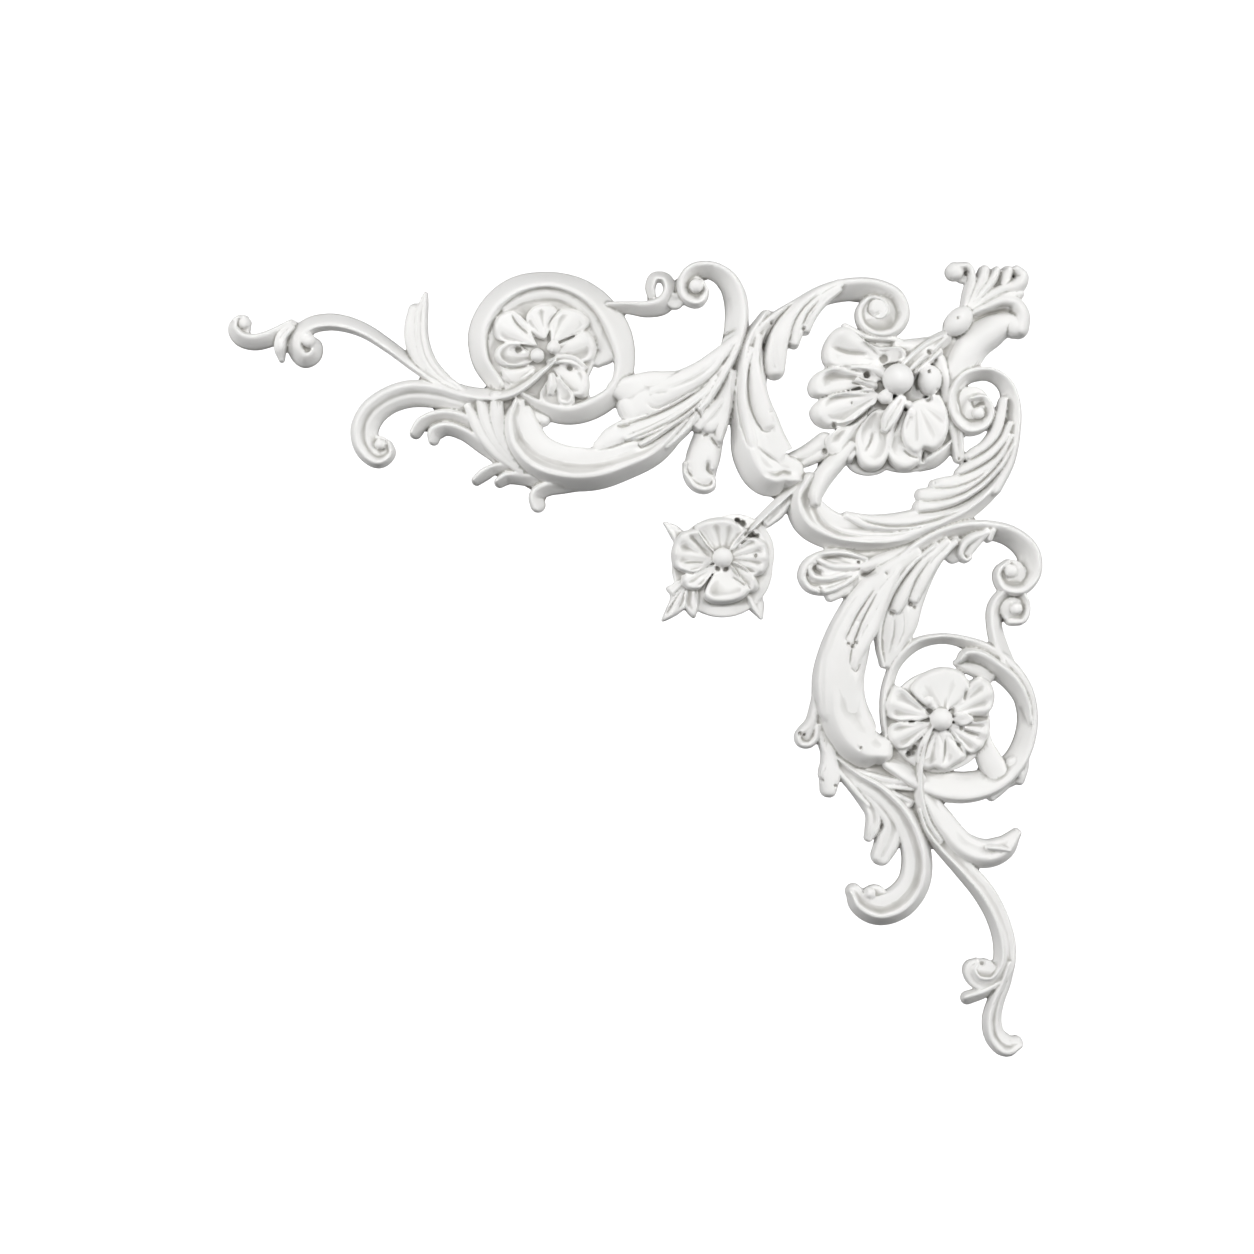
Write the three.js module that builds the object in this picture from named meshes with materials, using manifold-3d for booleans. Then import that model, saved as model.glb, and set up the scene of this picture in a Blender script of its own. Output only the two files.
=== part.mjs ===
// Corner applique: one cast resin relief of leaf scrolls, rings and flowers, glued flat to a wall.
// Millimetres. The wall is the plane y = 0 and the carving stands out of it towards -y.
// +x runs to the right, +z runs up, and the origin lies behind the middle of the big flower.
import * as THREE from 'three';
import { mergeVertices } from 'three/addons/utils/BufferGeometryUtils.js';
import Module from 'manifold-3d';

// Driving dimensions
const SPAN = 407;
const RELIEF = 24;

// How finely the curves are faceted. FACET_TURN is in radians; FACET_RUN, FACET_SAG and RIM_FACET
// are lengths.
const FACET_TURN = 0.9;
const FACET_RUN = 45;
const FACET_SAG = 0.85;
const RIM_FACET = 12;
const LEAST_RIM_FACETS = 5;
const LOOKS_PER_STATION = 4;
const SLIM_HALF_WIDTH = 4.3;
const DOME_SIDES = 6;
const DOME_RINGS = 2;
const PLATE_SIDES = 12;

// The drawing sheet. Every station below is [x, z, half width, height] on a sheet whose ornament is
// SHEET_SPAN wide and SHEET_RELIEF proud, so the stations are shares of SPAN and RELIEF.
const SHEET_SPAN = 407;
const SHEET_RELIEF = 24;
const ACROSS = SPAN / SHEET_SPAN;
const PROUD = RELIEF / SHEET_RELIEF;

// How far every form runs on behind the wall plane before the back is cut flat
const BACK_ALLOWANCE = 2;

// Rounding of a form's two ends, as shares of its half width and height there
const END_REACH = 0.84;
const END_WIDTH = 0.58;
const END_HEIGHT = 0.86;

// Where the crown of a form's end cap stands, as a share of its height
const CAP_RISE = 0.4;

// How tightly widths and heights follow their stations
const SIZE_TENSION = 0.3;

// Rows of a petal from its root to its rim: [share of the way out, share of the height]
const PETAL_ROWS = [[0.12, 1], [0.88, 1], [1, 0.5]];

// Cross-sections of a carved form, from its left foot over the crest to its right foot.
// Each row is [share of the half width, share of the height].
const BACK = null;
const PROFILES = {
  bead: [[-1.05, BACK], [-0.78, 0.66], [0, 1], [0.78, 0.66], [1.05, BACK]],
  ridge: [[-1.05, BACK], [-0.78, 0.8], [-0.3, 1], [0.72, 0.58], [1.05, BACK]],
  hook: [[-1.05, BACK], [-0.8, 0.74], [-0.45, 1], [0.2, 0.76], [0.82, 0.55], [1.05, BACK]],
  scroll: [[-1.05, BACK], [-0.78, 0.56], [-0.25, 1], [0.12, 0.73], [0.84, 0.72], [1.05, BACK]],
  shell: [[-1.05, BACK], [-0.78, 0.58], [-0.3, 1], [0.82, 0.74], [1.05, BACK]],
  spoon: [[-1.05, BACK], [-0.78, 0.84], [0, 0.8], [0.78, 0.84], [1.05, BACK]],
  blade: [[-1.05, BACK], [-0.52, 0.95], [0.52, 0.95], [1.05, BACK]],
};

const wasm = await Module();
wasm.setup();

// A closed three.js geometry as a solid that can be joined and cut
function solidFrom(geometry) {
  geometry.deleteAttribute('normal');
  geometry.deleteAttribute('uv');
  const merged = mergeVertices(geometry);
  const shape = new wasm.Mesh({
    numProp: 3,
    vertProperties: new Float32Array(merged.attributes.position.array),
    triVerts: new Uint32Array(merged.index.array),
  });
  return new wasm.Manifold(shape);
}

// The same profile seen from the other side
function flipped(profile) {
  return profile.map(([across, rise]) => [-across, rise]).reverse();
}

// Direction of travel along a centreline, level with the wall
function headingAt(line, share) {
  const tangent = line.getTangent(share);
  tangent.y = 0;
  return tangent.normalize();
}

// A shallow arc bows away from its chord by run x turn / 8
const ARC_SAG_DIVISOR = 8;

// Places along a centreline where the form gets a cross-section: its two ends, and between them
// wherever a straight facet would stray from the curve by FACET_SAG or turn by FACET_TURN.
function sharesAlong(line, stationCount) {
  const looks = (stationCount - 1) * LOOKS_PER_STATION;
  const shares = [0];
  let last = { heading: headingAt(line, 0), point: line.getPoint(0) };
  for (let look = 1; look < looks; look += 1) {
    const share = look / looks;
    const here = { heading: headingAt(line, share), point: line.getPoint(share) };
    const turn = last.heading.angleTo(here.heading);
    const run = last.point.distanceTo(here.point);
    const sag = (run * turn) / ARC_SAG_DIVISOR;
    if (sag >= FACET_SAG || turn >= FACET_TURN || run >= FACET_RUN) {
      shares.push(share);
      last = here;
    }
  }
  shares.push(1);
  return shares;
}

// One cross-section of a form: where it is, which way it faces, how wide and how high it is
function frameAt(line, size, share) {
  const { x: halfWidth, y: height } = size.getPoint(share);
  return { centre: line.getPoint(share), heading: headingAt(line, share), halfWidth, height };
}

// A smaller cross-section just past one end, which rounds the end off
function roundedEnd(frame, side) {
  const reach = side * END_REACH * frame.halfWidth;
  return {
    centre: frame.centre.clone().addScaledVector(frame.heading, reach),
    heading: frame.heading,
    halfWidth: frame.halfWidth * END_WIDTH,
    height: frame.height * END_HEIGHT,
  };
}

// Slim forms are carved with fewer facets
function fittedProfile(profile, stations) {
  const widest = Math.max(...stations.map(([, , halfWidth]) => halfWidth));
  return widest < SLIM_HALF_WIDTH ? PROFILES.blade : profile;
}

// A carved form that follows a curve: a cylinder whose rings become the profile at each place
function stroke(profile, stations) {
  const points = stations.map(([x, z]) => new THREE.Vector3(x * ACROSS, 0, z * ACROSS));
  const sizes = stations.map(([, , w, h]) => new THREE.Vector3(w * ACROSS, h * PROUD, 0));
  const line = new THREE.CatmullRomCurve3(points, false, 'centripetal');
  const size = new THREE.CatmullRomCurve3(sizes, false, 'catmullrom', SIZE_TENSION);
  const frames = sharesAlong(line, stations.length).map((share) => frameAt(line, size, share));
  frames.unshift(roundedEnd(frames[0], -1));
  frames.push(roundedEnd(frames[frames.length - 1], 1));

  const rings = frames.length - 1;
  const sides = profile.length;
  const geometry = new THREE.CylinderGeometry(1, 1, 1, sides, rings);
  const position = geometry.attributes.position;
  const place = new THREE.Vector3();
  for (let index = 0; index < position.count; index += 1) {
    place.fromBufferAttribute(position, index);
    const frame = frames[Math.round((place.y + 0.5) * rings)];
    const { centre, heading, halfWidth, height } = frame;
    const onAxis = Math.round(Math.hypot(place.x, place.z)) === 0;
    const around = Math.round((Math.atan2(place.x, place.z) / (2 * Math.PI)) * sides);
    const [across, rise] = onAxis ? [0, CAP_RISE] : profile[(around + sides) % sides];
    const offset = across * halfWidth;
    const y = rise === BACK ? BACK_ALLOWANCE : -rise * height;
    position.setXYZ(index, centre.x + heading.z * offset, y, centre.z - heading.x * offset);
  }
  return solidFrom(geometry);
}

// A ball on a stud, or an oval boss when its two radii differ
function dome(x, z, radiusX, height, radiusZ = radiusX, turn = 0) {
  const width = radiusX * ACROSS;
  const depth = radiusZ * ACROSS;
  const top = height * PROUD;
  const stem = top + BACK_ALLOWANCE;
  const geometry = new THREE.CapsuleGeometry(width, stem, DOME_RINGS, DOME_SIDES);
  geometry.scale(1, 1, depth / width);
  geometry.rotateY(THREE.MathUtils.degToRad(-turn));
  geometry.translate(x * ACROSS, width + stem / 2 - top, z * ACROSS);
  return solidFrom(geometry);
}

// A leaf or petal that fans out from its root to a rim of [x, z] points: a bent block
function petal([rootX, rootZ], rim, rootHeight, rimHeight) {
  const points = rim.map(([x, z]) => new THREE.Vector3(x * ACROSS, 0, z * ACROSS));
  const outline = points.map((point) => new THREE.Vector2(point.x, point.z));
  if (THREE.ShapeUtils.area(outline) > 0) points.reverse();
  const line = new THREE.CatmullRomCurve3(points, false, 'centripetal');
  const root = new THREE.Vector3(rootX * ACROSS, 0, rootZ * ACROSS);
  const turns = Math.max(LEAST_RIM_FACETS, Math.round(line.getLength() / RIM_FACET));
  const rows = PETAL_ROWS.length - 1;
  const geometry = new THREE.BoxGeometry(1, 1, 1, turns, rows, 1);
  const position = geometry.attributes.position;
  const corner = new THREE.Vector3();
  for (let index = 0; index < position.count; index += 1) {
    corner.fromBufferAttribute(position, index);
    const [out, share] = PETAL_ROWS[Math.round((corner.y + 0.5) * rows)];
    const place = root.clone().lerp(line.getPointAt(corner.x + 0.5), out);
    const height = THREE.MathUtils.lerp(rootHeight, rimHeight, out) * share * PROUD;
    position.setXYZ(index, place.x, corner.z > 0 ? -height : BACK_ALLOWANCE, place.z);
  }
  return solidFrom(geometry);
}

// A low flat plate that backs open carving
function plate(x, z, radiusX, height, radiusZ = radiusX) {
  const thickness = height * PROUD + BACK_ALLOWANCE;
  const geometry = new THREE.CylinderGeometry(1, 1, thickness, PLATE_SIDES);
  geometry.scale(radiusX * ACROSS, 1, radiusZ * ACROSS);
  geometry.translate(x * ACROSS, BACK_ALLOWANCE - thickness / 2, z * ACROSS);
  return solidFrom(geometry);
}

// The carver's forms, by profile
const bead = (stations) => stroke(fittedProfile(PROFILES.bead, stations), stations);
const ridge = (stations) => stroke(PROFILES.ridge, stations);
const ridgeFlipped = (stations) => stroke(flipped(PROFILES.ridge), stations);
const hookFlipped = (stations) => stroke(flipped(PROFILES.hook), stations);
const scroll = (stations) => stroke(PROFILES.scroll, stations);
const scrollFlipped = (stations) => stroke(flipped(PROFILES.scroll), stations);
const shellFlipped = (stations) => stroke(flipped(PROFILES.shell), stations);
const spoon = (stations) => stroke(fittedProfile(PROFILES.spoon, stations), stations);

// The vine that runs left to its volute, with the curled leaf at its tip
const vineAndTail = () => [
  ridgeFlipped([
    [-168, 14, 1.8, 15], [-174, 9, 2.4, 15], [-182, 2.5, 3.2, 14.5], [-191, -2, 3.8, 14],
    [-202, -3, 4, 13], [-214, -1, 3.8, 12], [-226, 4.5, 3.3, 11.5], [-238, 12.5, 3.2, 11],
    [-250, 21.5, 3.4, 10.5], [-262, 29.3, 3.8, 10.5], [-272, 33, 4.2, 10.5], [-281, 34, 4.4, 10.5],
    [-290, 32, 4.5, 10.5], [-296, 26.5, 4.6, 10.5], [-296.5, 19.5, 4.5, 10.2],
    [-292.3, 14.9, 4.2, 9.8], [-287.3, 17, 3.4, 9.3], [-286.9, 21.5, 2.8, 8.8],
  ]),
  dome(-289.8, 24, 3.4, 12),
  ridgeFlipped([
    [-299, 32, 3.2, 8.5], [-304, 28.7, 4, 9], [-310, 25.6, 4.3, 9.5], [-318, 23.8, 4.2, 9.5],
    [-325, 26, 4, 9.5], [-328, 30.8, 3.3, 9.5], [-327, 34.2, 2.3, 9],
  ]),
  dome(-322, 33.2, 3, 9),
  spoon([
    [-299, 31, 2, 9], [-303.4, 26, 3, 10], [-304.6, 20, 3.1, 10], [-304, 15, 1.6, 6],
  ]),
];

// The two-lobed leaf that stands up from the vine
const upperLeaf = () => [
  spoon([
    [-214, -1, 2.5, 10], [-225, 4.5, 3.6, 10.5], [-233.5, 13.5, 4.6, 10.5], [-238, 25, 4.8, 10.5],
    [-238.6, 35, 4.6, 10], [-236, 42.5, 4.4, 9.5], [-232, 47.6, 1.6, 8],
  ]),
  spoon([
    [-216, 1, 2, 10.5], [-224, 6, 2.6, 11], [-231, 14, 3.2, 11], [-234, 24, 3.2, 11],
    [-233.5, 33, 3, 10.5], [-231.8, 39, 1.5, 9],
  ]),
];

// The hooked leaf below the vine
const leftHook = () => [
  hookFlipped([
    [-205, -8, 4, 11], [-214, -6, 5.5, 12], [-227, -2.6, 6.6, 13], [-240, -2, 7, 13.5],
    [-251, -5.6, 6.9, 13.5], [-259.3, -12.4, 7.1, 13.5], [-262.8, -21, 7.1, 13.2],
    [-260.8, -29.6, 6.4, 12.5], [-255.2, -34.2, 5.2, 12], [-250.4, -31.5, 3.6, 11.3],
    [-250.9, -27.4, 2.4, 10.5],
  ]),
  dome(-254.2, -27.4, 2.7, 11.5),
  plate(-255, -28, 5, 7),
];

// The leaves with knobbed tips under the left scroll
const knobbedLeaves = () => [
  ridgeFlipped([
    [-196, -33, 3, 8], [-205, -22, 4, 10], [-214, -15, 4, 10.5], [-226, -13.5, 3.6, 10],
    [-234, -17, 3.6, 10], [-237, -21.5, 3.3, 9.5],
  ]),
  ridgeFlipped([
    [-192, -37, 3, 8], [-203, -29, 3.6, 9.5], [-213, -22, 3.6, 10], [-222, -19.5, 3.6, 10],
    [-227.5, -22, 4, 10], [-228, -25, 3, 9],
  ]),
  ridgeFlipped([
    [-172, -44, 4, 9], [-185, -40.5, 3.5, 9.5], [-197, -39.5, 3, 9], [-203, -42.5, 3.4, 9],
    [-206.5, -45.3, 2.8, 8.5],
  ]),
  ridgeFlipped([
    [-172, -46, 4, 9], [-184, -44.5, 3.4, 9.5], [-191, -44, 3.4, 9.5], [-195, -46.2, 3, 9],
  ]),
  ridgeFlipped([
    [-150, -46, 4, 9], [-163, -48, 4, 9], [-172, -49.5, 4, 9.5], [-177, -53, 3.8, 9.5],
    [-176, -57.5, 4, 9],
  ]),
];

// The blades that sheathe the root of the left scroll
const calyxBlades = () => [
  spoon([
    [-184, -41, 2, 10], [-196, -31, 3.2, 11], [-205, -19, 3.2, 11.5], [-210, -9, 1.6, 11.5],
  ]),
  spoon([
    [-186, -38, 2, 10], [-195, -27, 3, 11], [-200.5, -16, 3.4, 11.5], [-203, -6, 3, 11.5],
  ]),
  spoon([
    [-188, -34, 2, 11], [-194, -23, 3, 12], [-196, -13, 3.2, 12.5], [-196, -4, 3, 12],
  ]),
];

// The left scroll and the volute that it ends in
const leftScroll = () => [
  scrollFlipped([
    [-186, -8, 4, 14], [-187, -15, 7.5, 16], [-184.8, -26, 9.8, 17], [-176.5, -35, 10.6, 17.5],
    [-163, -39.5, 10.8, 17.5], [-148, -39.5, 10.8, 17.5], [-134, -35.5, 10, 17],
    [-119.5, -29, 9, 16.5], [-108, -18.5, 7, 16], [-98, -6, 5.5, 15],
  ]),
  ridgeFlipped([
    [-112, -27, 4, 15], [-103, -18, 4.5, 16], [-94, -6, 4.5, 16.5], [-86, 7, 4.5, 16.5],
    [-79.5, 21, 5.4, 16], [-76.8, 34, 6, 15.5], [-77.5, 46, 6, 15], [-82, 55, 5.2, 14.5],
    [-90, 59.6, 4.5, 14], [-98.5, 58.6, 4.4, 14], [-102.8, 53, 4.2, 13.8],
    [-101.6, 46.8, 4.2, 13.4], [-96.5, 44.6, 4, 13], [-93.3, 48.5, 3, 12.2],
    [-94.5, 52.5, 2.2, 11.8],
  ]),
  dome(-97.2, 51, 3.4, 14.5),
  plate(-97.5, 50, 6, 8),
  plate(-107.5, 44, 4.4, 8, 4),
];

// The leaf lobes inside the left scroll
const leftScrollLobes = () => [
  spoon([
    [-77, 30, 2.5, 16], [-86, 18.5, 4, 15.5], [-98, 10, 4.4, 14.5], [-112, 5, 4.4, 13.5],
    [-126, 4.3, 4.2, 12.5],
  ]),
  spoon([
    [-79, 24, 2, 16], [-88, 11, 3.4, 16], [-99, 1.5, 4, 15.5], [-110, -3.5, 4.3, 15],
    [-119, -5, 4, 14.5],
  ]),
  spoon([
    [-82, 16, 2, 15], [-92, 2.5, 3.4, 14.5], [-105, -5.5, 4.4, 13.5], [-120, -9.5, 5, 13],
    [-133, -10.5, 6, 12.5], [-142, -10, 4.5, 11.5],
  ]),
  bead([
    [-127, -20, 3, 12], [-137, -23.3, 2.6, 12], [-142.5, -25.6, 1.8, 12],
  ]),
  spoon([
    [-84, 10, 1.6, 15.5], [-94, -4, 2.5, 15.5], [-105, -13, 3, 15], [-118, -20, 3, 15],
    [-132, -25, 2.8, 15], [-147, -29, 2.3, 14.5],
  ]),
];

// The tongue-shaped leaf between the left scroll and the rosette
const tongueLeaf = () => [
  spoon([
    [-79, 8, 2, 13], [-82.5, -3, 4, 13], [-87, -12, 5.5, 13], [-91.5, -20, 4.5, 13],
  ]),
  spoon([
    [-84, -5, 2, 12], [-90, -12, 3, 12.5], [-95.5, -18.5, 2, 12],
  ]),
  spoon([
    [-88, -14, 6, 9], [-91.5, -25, 7.5, 10.5], [-94, -35, 8.4, 11.5], [-95.3, -43, 7.6, 11.5],
    [-93.5, -47.5, 5, 10],
  ]),
  bead([
    [-80, -8, 2, 9], [-81, -19, 2.2, 9], [-81.3, -26, 1.6, 8],
  ]),
  bead([
    [-84, -14, 2.5, 9], [-86.5, -26, 3, 9], [-87.5, -34, 2.8, 9], [-88, -37, 2, 8],
  ]),
];

// The ring around the upper left flower
const upperRing = () => [
  ridge([
    [-197, 3, 4.5, 11], [-204, 14, 5, 12], [-205.4, 28.4, 5.6, 13], [-198.7, 42, 5.8, 13.5],
    [-187, 51, 5.8, 14], [-171, 54, 5.2, 14], [-155.8, 50.4, 5.8, 14], [-144, 41.5, 6.4, 14],
    [-135.5, 27, 6.8, 14], [-132.8, 12, 5.2, 13.5], [-137, -1, 5, 13], [-149, -9.5, 5.5, 13],
    [-162, -12.5, 5, 12.5], [-175, -9, 4.5, 12], [-184, -4, 3, 11],
  ]),
  spoon([
    [-186, 41, 2, 9], [-178, 46, 3.5, 10], [-168, 47.5, 4, 10.5], [-157, 44, 4.2, 10.5],
    [-149, 36.5, 4.4, 10.5], [-143.8, 27, 4.6, 10], [-143.6, 19.5, 4, 9.5], [-146.5, 14, 2.4, 9],
  ]),
];

// The upper left flower, on the low plate that fills its ring
const upperRingFlower = () => [
  plate(-174, 20, 27, 6.5),
  bead([
    [-133, 2, 4, 9], [-127, 1, 5, 10], [-120, -1, 4, 10],
  ]),
  bead([
    [-130, 15, 3, 9], [-124, 9, 3, 9],
  ]),
  plate(-189, -7, 5, 6),
  petal([-176, 21], [
    [-180, 29.5], [-183, 35], [-189, 39], [-196, 36.5], [-198.5, 30], [-197, 25], [-191, 23],
    [-184, 22],
  ], 14, 13.5),
  petal([-172, 24], [
    [-166.4, 38.6], [-166.6, 40.2], [-172, 42.5], [-178, 41], [-182, 36], [-180.5, 30], [-178, 26],
  ], 14, 13),
  petal([-169, 22], [
    [-163, 24.5], [-151.5, 30], [-149.5, 34], [-154, 38.5], [-160, 40.5], [-166, 39], [-169.5, 33],
    [-170, 28],
  ], 14, 13),
  petal([-168, 17], [
    [-154, 13], [-149, 14], [-146.5, 19], [-148, 25], [-152, 29], [-158, 25.5], [-164, 23],
  ], 12, 13.5),
  petal([-179, 16], [
    [-181, 19], [-186, 22], [-192, 23], [-197, 19.5], [-197.5, 15], [-194.5, 11.5], [-189, 10.5],
    [-183, 11.5], [-179, 13],
  ], 8, 14),
  petal([-178, 11], [
    [-181, 12], [-187, 11], [-194, 9.5], [-193.5, 5], [-190, 2.5], [-184, 4.5], [-178, 8],
  ], 9, 10.5),
  petal([-168, 10], [
    [-160, 13.5], [-154, 11], [-150.5, 6], [-150.3, 0], [-152.5, -4.5], [-157, -4], [-161, 0],
    [-165, 5],
  ], 10, 14),
  petal([-167, 6], [
    [-162, 2], [-158, -3], [-157.5, -7], [-160, -9], [-164.5, -8], [-166, -3],
  ], 11, 14),
  petal([-169, 6], [
    [-160, -8], [-163, -11], [-169, -11.3], [-174, -8.5], [-175, -3], [-172, 3],
  ], 10, 13),
  petal([-173, 6], [
    [-174, -6], [-180, -6.5], [-186, -4.5], [-184, -1], [-178, 3.5],
  ], 8, 9),
  bead([
    [-169, 6, 2.2, 15], [-169, 1, 2.8, 17], [-169.5, -2, 2, 16],
  ]),
  dome(-176, 16.3, 3.4, 19),
];

// The small curl above the upper ring
const topCurl = () => [
  ridge([
    [-140, 41, 3, 11], [-131, 41, 3.2, 11], [-121.2, 40.3, 4.2, 11], [-113, 42.8, 4.8, 11],
    [-109.9, 50, 3.6, 11], [-112.6, 55.8, 3.1, 10.5], [-118, 56, 2.9, 10.5], [-119.9, 51, 2.7, 10],
    [-119.2, 47, 2.2, 9.5],
  ]),
];

// The scroll that holds the big flower from the left
const centreLeftScroll = () => [
  scrollFlipped([
    [-62, 36, 4, 15], [-69, 24, 5.5, 16], [-70.8, 10, 8.2, 17], [-70.3, -5, 10.2, 17.5],
    [-67.5, -18, 12.6, 18], [-64.3, -31, 14.8, 18], [-58.4, -40.4, 14, 17.5], [-52, -42, 9, 16],
  ]),
  ridge([
    [-72, 12, 3, 14], [-66.5, 25, 4.2, 15], [-57.5, 34, 4.6, 15], [-46, 40.6, 5, 15],
    [-34, 47, 5.3, 15], [-21, 50, 5.8, 15], [-8, 49.5, 6, 15], [1, 44.5, 6.6, 15],
    [3.6, 36.5, 6.2, 14.7], [-0.5, 30.3, 5, 14.2], [-7.5, 29.3, 4.2, 13.6], [-12.4, 33.5, 3.8, 13],
    [-12.6, 39, 3.2, 12.6], [-8.5, 42, 2.4, 12.4],
  ]),
  dome(-8.5, 41.5, 3, 14),
  plate(-6, 37, 9, 9),
  spoon([
    [-24, 53, 1.2, 14], [-39, 47, 3, 15.5], [-50, 38.5, 4.2, 16.5], [-56, 28, 5.6, 16.5],
    [-57.3, 17, 6.2, 16.5], [-56.6, 8.6, 5.8, 16],
  ]),
  spoon([
    [-27, 47, 2.4, 15.5], [-34, 43, 3, 15.5], [-39, 36, 3.2, 15], [-41, 28.5, 3, 14.5],
  ]),
  spoon([
    [-67, 22, 2, 17], [-69.2, 8, 3.2, 18], [-67.5, -6, 4.2, 19], [-62.5, -18, 3.6, 19],
  ]),
  bead([
    [-73.5, 12, 1.5, 17.5], [-75, -3, 2.2, 18.5], [-73, -17, 2.6, 19], [-69, -28, 2.2, 19],
  ]),
  bead([
    [-49, -34, 3, 9], [-41, -31, 4.2, 9], [-33, -25.5, 4.6, 9],
  ]),
];

// The big flower at the corner of the piece
const bigFlower = () => [
  plate(-8, 0, 28, 6.5, 24),
  plate(7, -16, 27.5, 6.5),
  plate(-11, -36, 11, 6, 7),
  plate(25, -35, 7, 6, 6),
  bead([
    [-47, -37, 3, 8], [-40, -34.5, 3.4, 8], [-32, -31, 3, 8],
  ]),
  bead([
    [4, 21, 4, 12], [14, 21, 5, 12], [22, 22, 5, 12],
  ]),
  petal([-2, 12.5], [
    [5, 14], [7.5, 17], [5, 20.5], [-1, 21], [-7, 20.8], [-12, 22.7], [-17, 26.5], [-21, 30],
    [-25.5, 31], [-30, 28], [-33.5, 22.5], [-34.6, 17], [-33, 12], [-27, 10.9], [-15, 10.7],
    [-8, 10.4],
  ], 12, 15),
  petal([-5, 4], [
    [-8, 9.6], [-14, 10.8], [-22, 10.8], [-30, 10.6], [-36.5, 8.5], [-40.5, 4.5], [-41.5, 0],
    [-40, -3.5], [-37, -4.4], [-33, -3.6],
  ], 11, 15),
  petal([-6, -3], [
    [-10, -0.5], [-17, -0.8], [-25, -2], [-32, -3.8], [-37.5, -6.5], [-40.5, -11], [-39, -16],
    [-34.5, -19.2], [-28, -19.6], [-22, -18.2], [-17, -14.5], [-12, -10.2], [-8.5, -8],
  ], 12, 14.5),
  petal([-11, -9], [
    [-18.2, -33], [-20, -37], [-25, -36], [-30, -33], [-33, -28.5], [-32.5, -24], [-28.5, -21.3],
  ], 9, 12.5),
  petal([-6, -10], [
    [1, -12], [1.5, -20], [-1, -28], [-2.6, -36], [-6, -40], [-11, -41], [-15.5, -38.5],
    [-17.8, -32], [-18.2, -25], [-15.5, -18.5], [-10, -12],
  ], 10, 15.5),
  petal([6, -11], [
    [13, -14], [16, -24], [15.8, -33], [12, -38.8], [6, -41.2], [0.5, -38.6], [-2, -34],
    [-0.8, -27], [1.5, -19], [3.5, -13],
  ], 10, 15),
  petal([12, -6], [
    [24, -3], [27.5, -11], [28.3, -20], [25.5, -27.5], [20.5, -31.3], [16, -30.4], [12.5, -33.6],
    [8, -31.5], [5, -26], [5, -19], [7.5, -12], [9, -8],
  ], 15, 17),
  dome(19, 4, 5.6, 19, 7.5, 0),
  dome(3, 4.5, 7.6, 24),
  dome(-3.2, -4.2, 3.5, 18),
  spoon([
    [4.5, -5.5, 3, 17], [1.5, -11, 4.5, 18.5], [-2, -17, 4, 18], [-3.6, -20.5, 2, 17],
  ]),
  bead([
    [6, 10, 5, 13.5], [15, 17, 6.5, 14.5], [26, 25, 4.5, 14.5],
  ]),
];

// The leafy horn at the top right
const horn = () => [
  bead([
    [31, 4, 7, 12], [35.5, 13.5, 9, 14], [42, 23.5, 9, 15], [51, 30, 8.5, 15], [58, 33, 6, 14],
  ]),
  bead([
    [39, 37, 2, 14], [47, 40.5, 2.8, 15], [55, 43.5, 3.4, 15.5], [61.5, 42.5, 4, 16],
    [65, 36.5, 4.6, 16], [64, 30.5, 5.3, 15.5],
  ]),
  dome(61.5, 31, 5.6, 15),
  bead([
    [38, 40, 2, 13], [42, 48, 3, 14], [45.5, 55, 3.4, 14.5], [46.5, 59, 3, 14],
  ]),
  bead([
    [40, 40, 1.8, 13], [48, 45.5, 3, 14], [56, 49.5, 3.6, 14.5], [63, 51.5, 4.4, 15],
    [65.3, 56, 3.6, 15], [62.5, 59.3, 2.6, 14],
  ]),
  bead([
    [36.5, 41, 2, 13], [38.5, 48, 2.8, 14], [40, 55, 2.6, 14.5], [38.2, 60.8, 2.4, 14.5],
    [33.5, 60.8, 2.8, 14],
  ]),
  dome(31.6, 58.6, 4.6, 14),
  plate(36, 57, 4, 8),
  bead([
    [56, 51, 3, 13.5], [58, 58.6, 3.2, 14],
  ]),
  plate(50, 52, 8, 8, 8),
  dome(33, 33.3, 6, 21, 8.2, -40),
];

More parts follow.
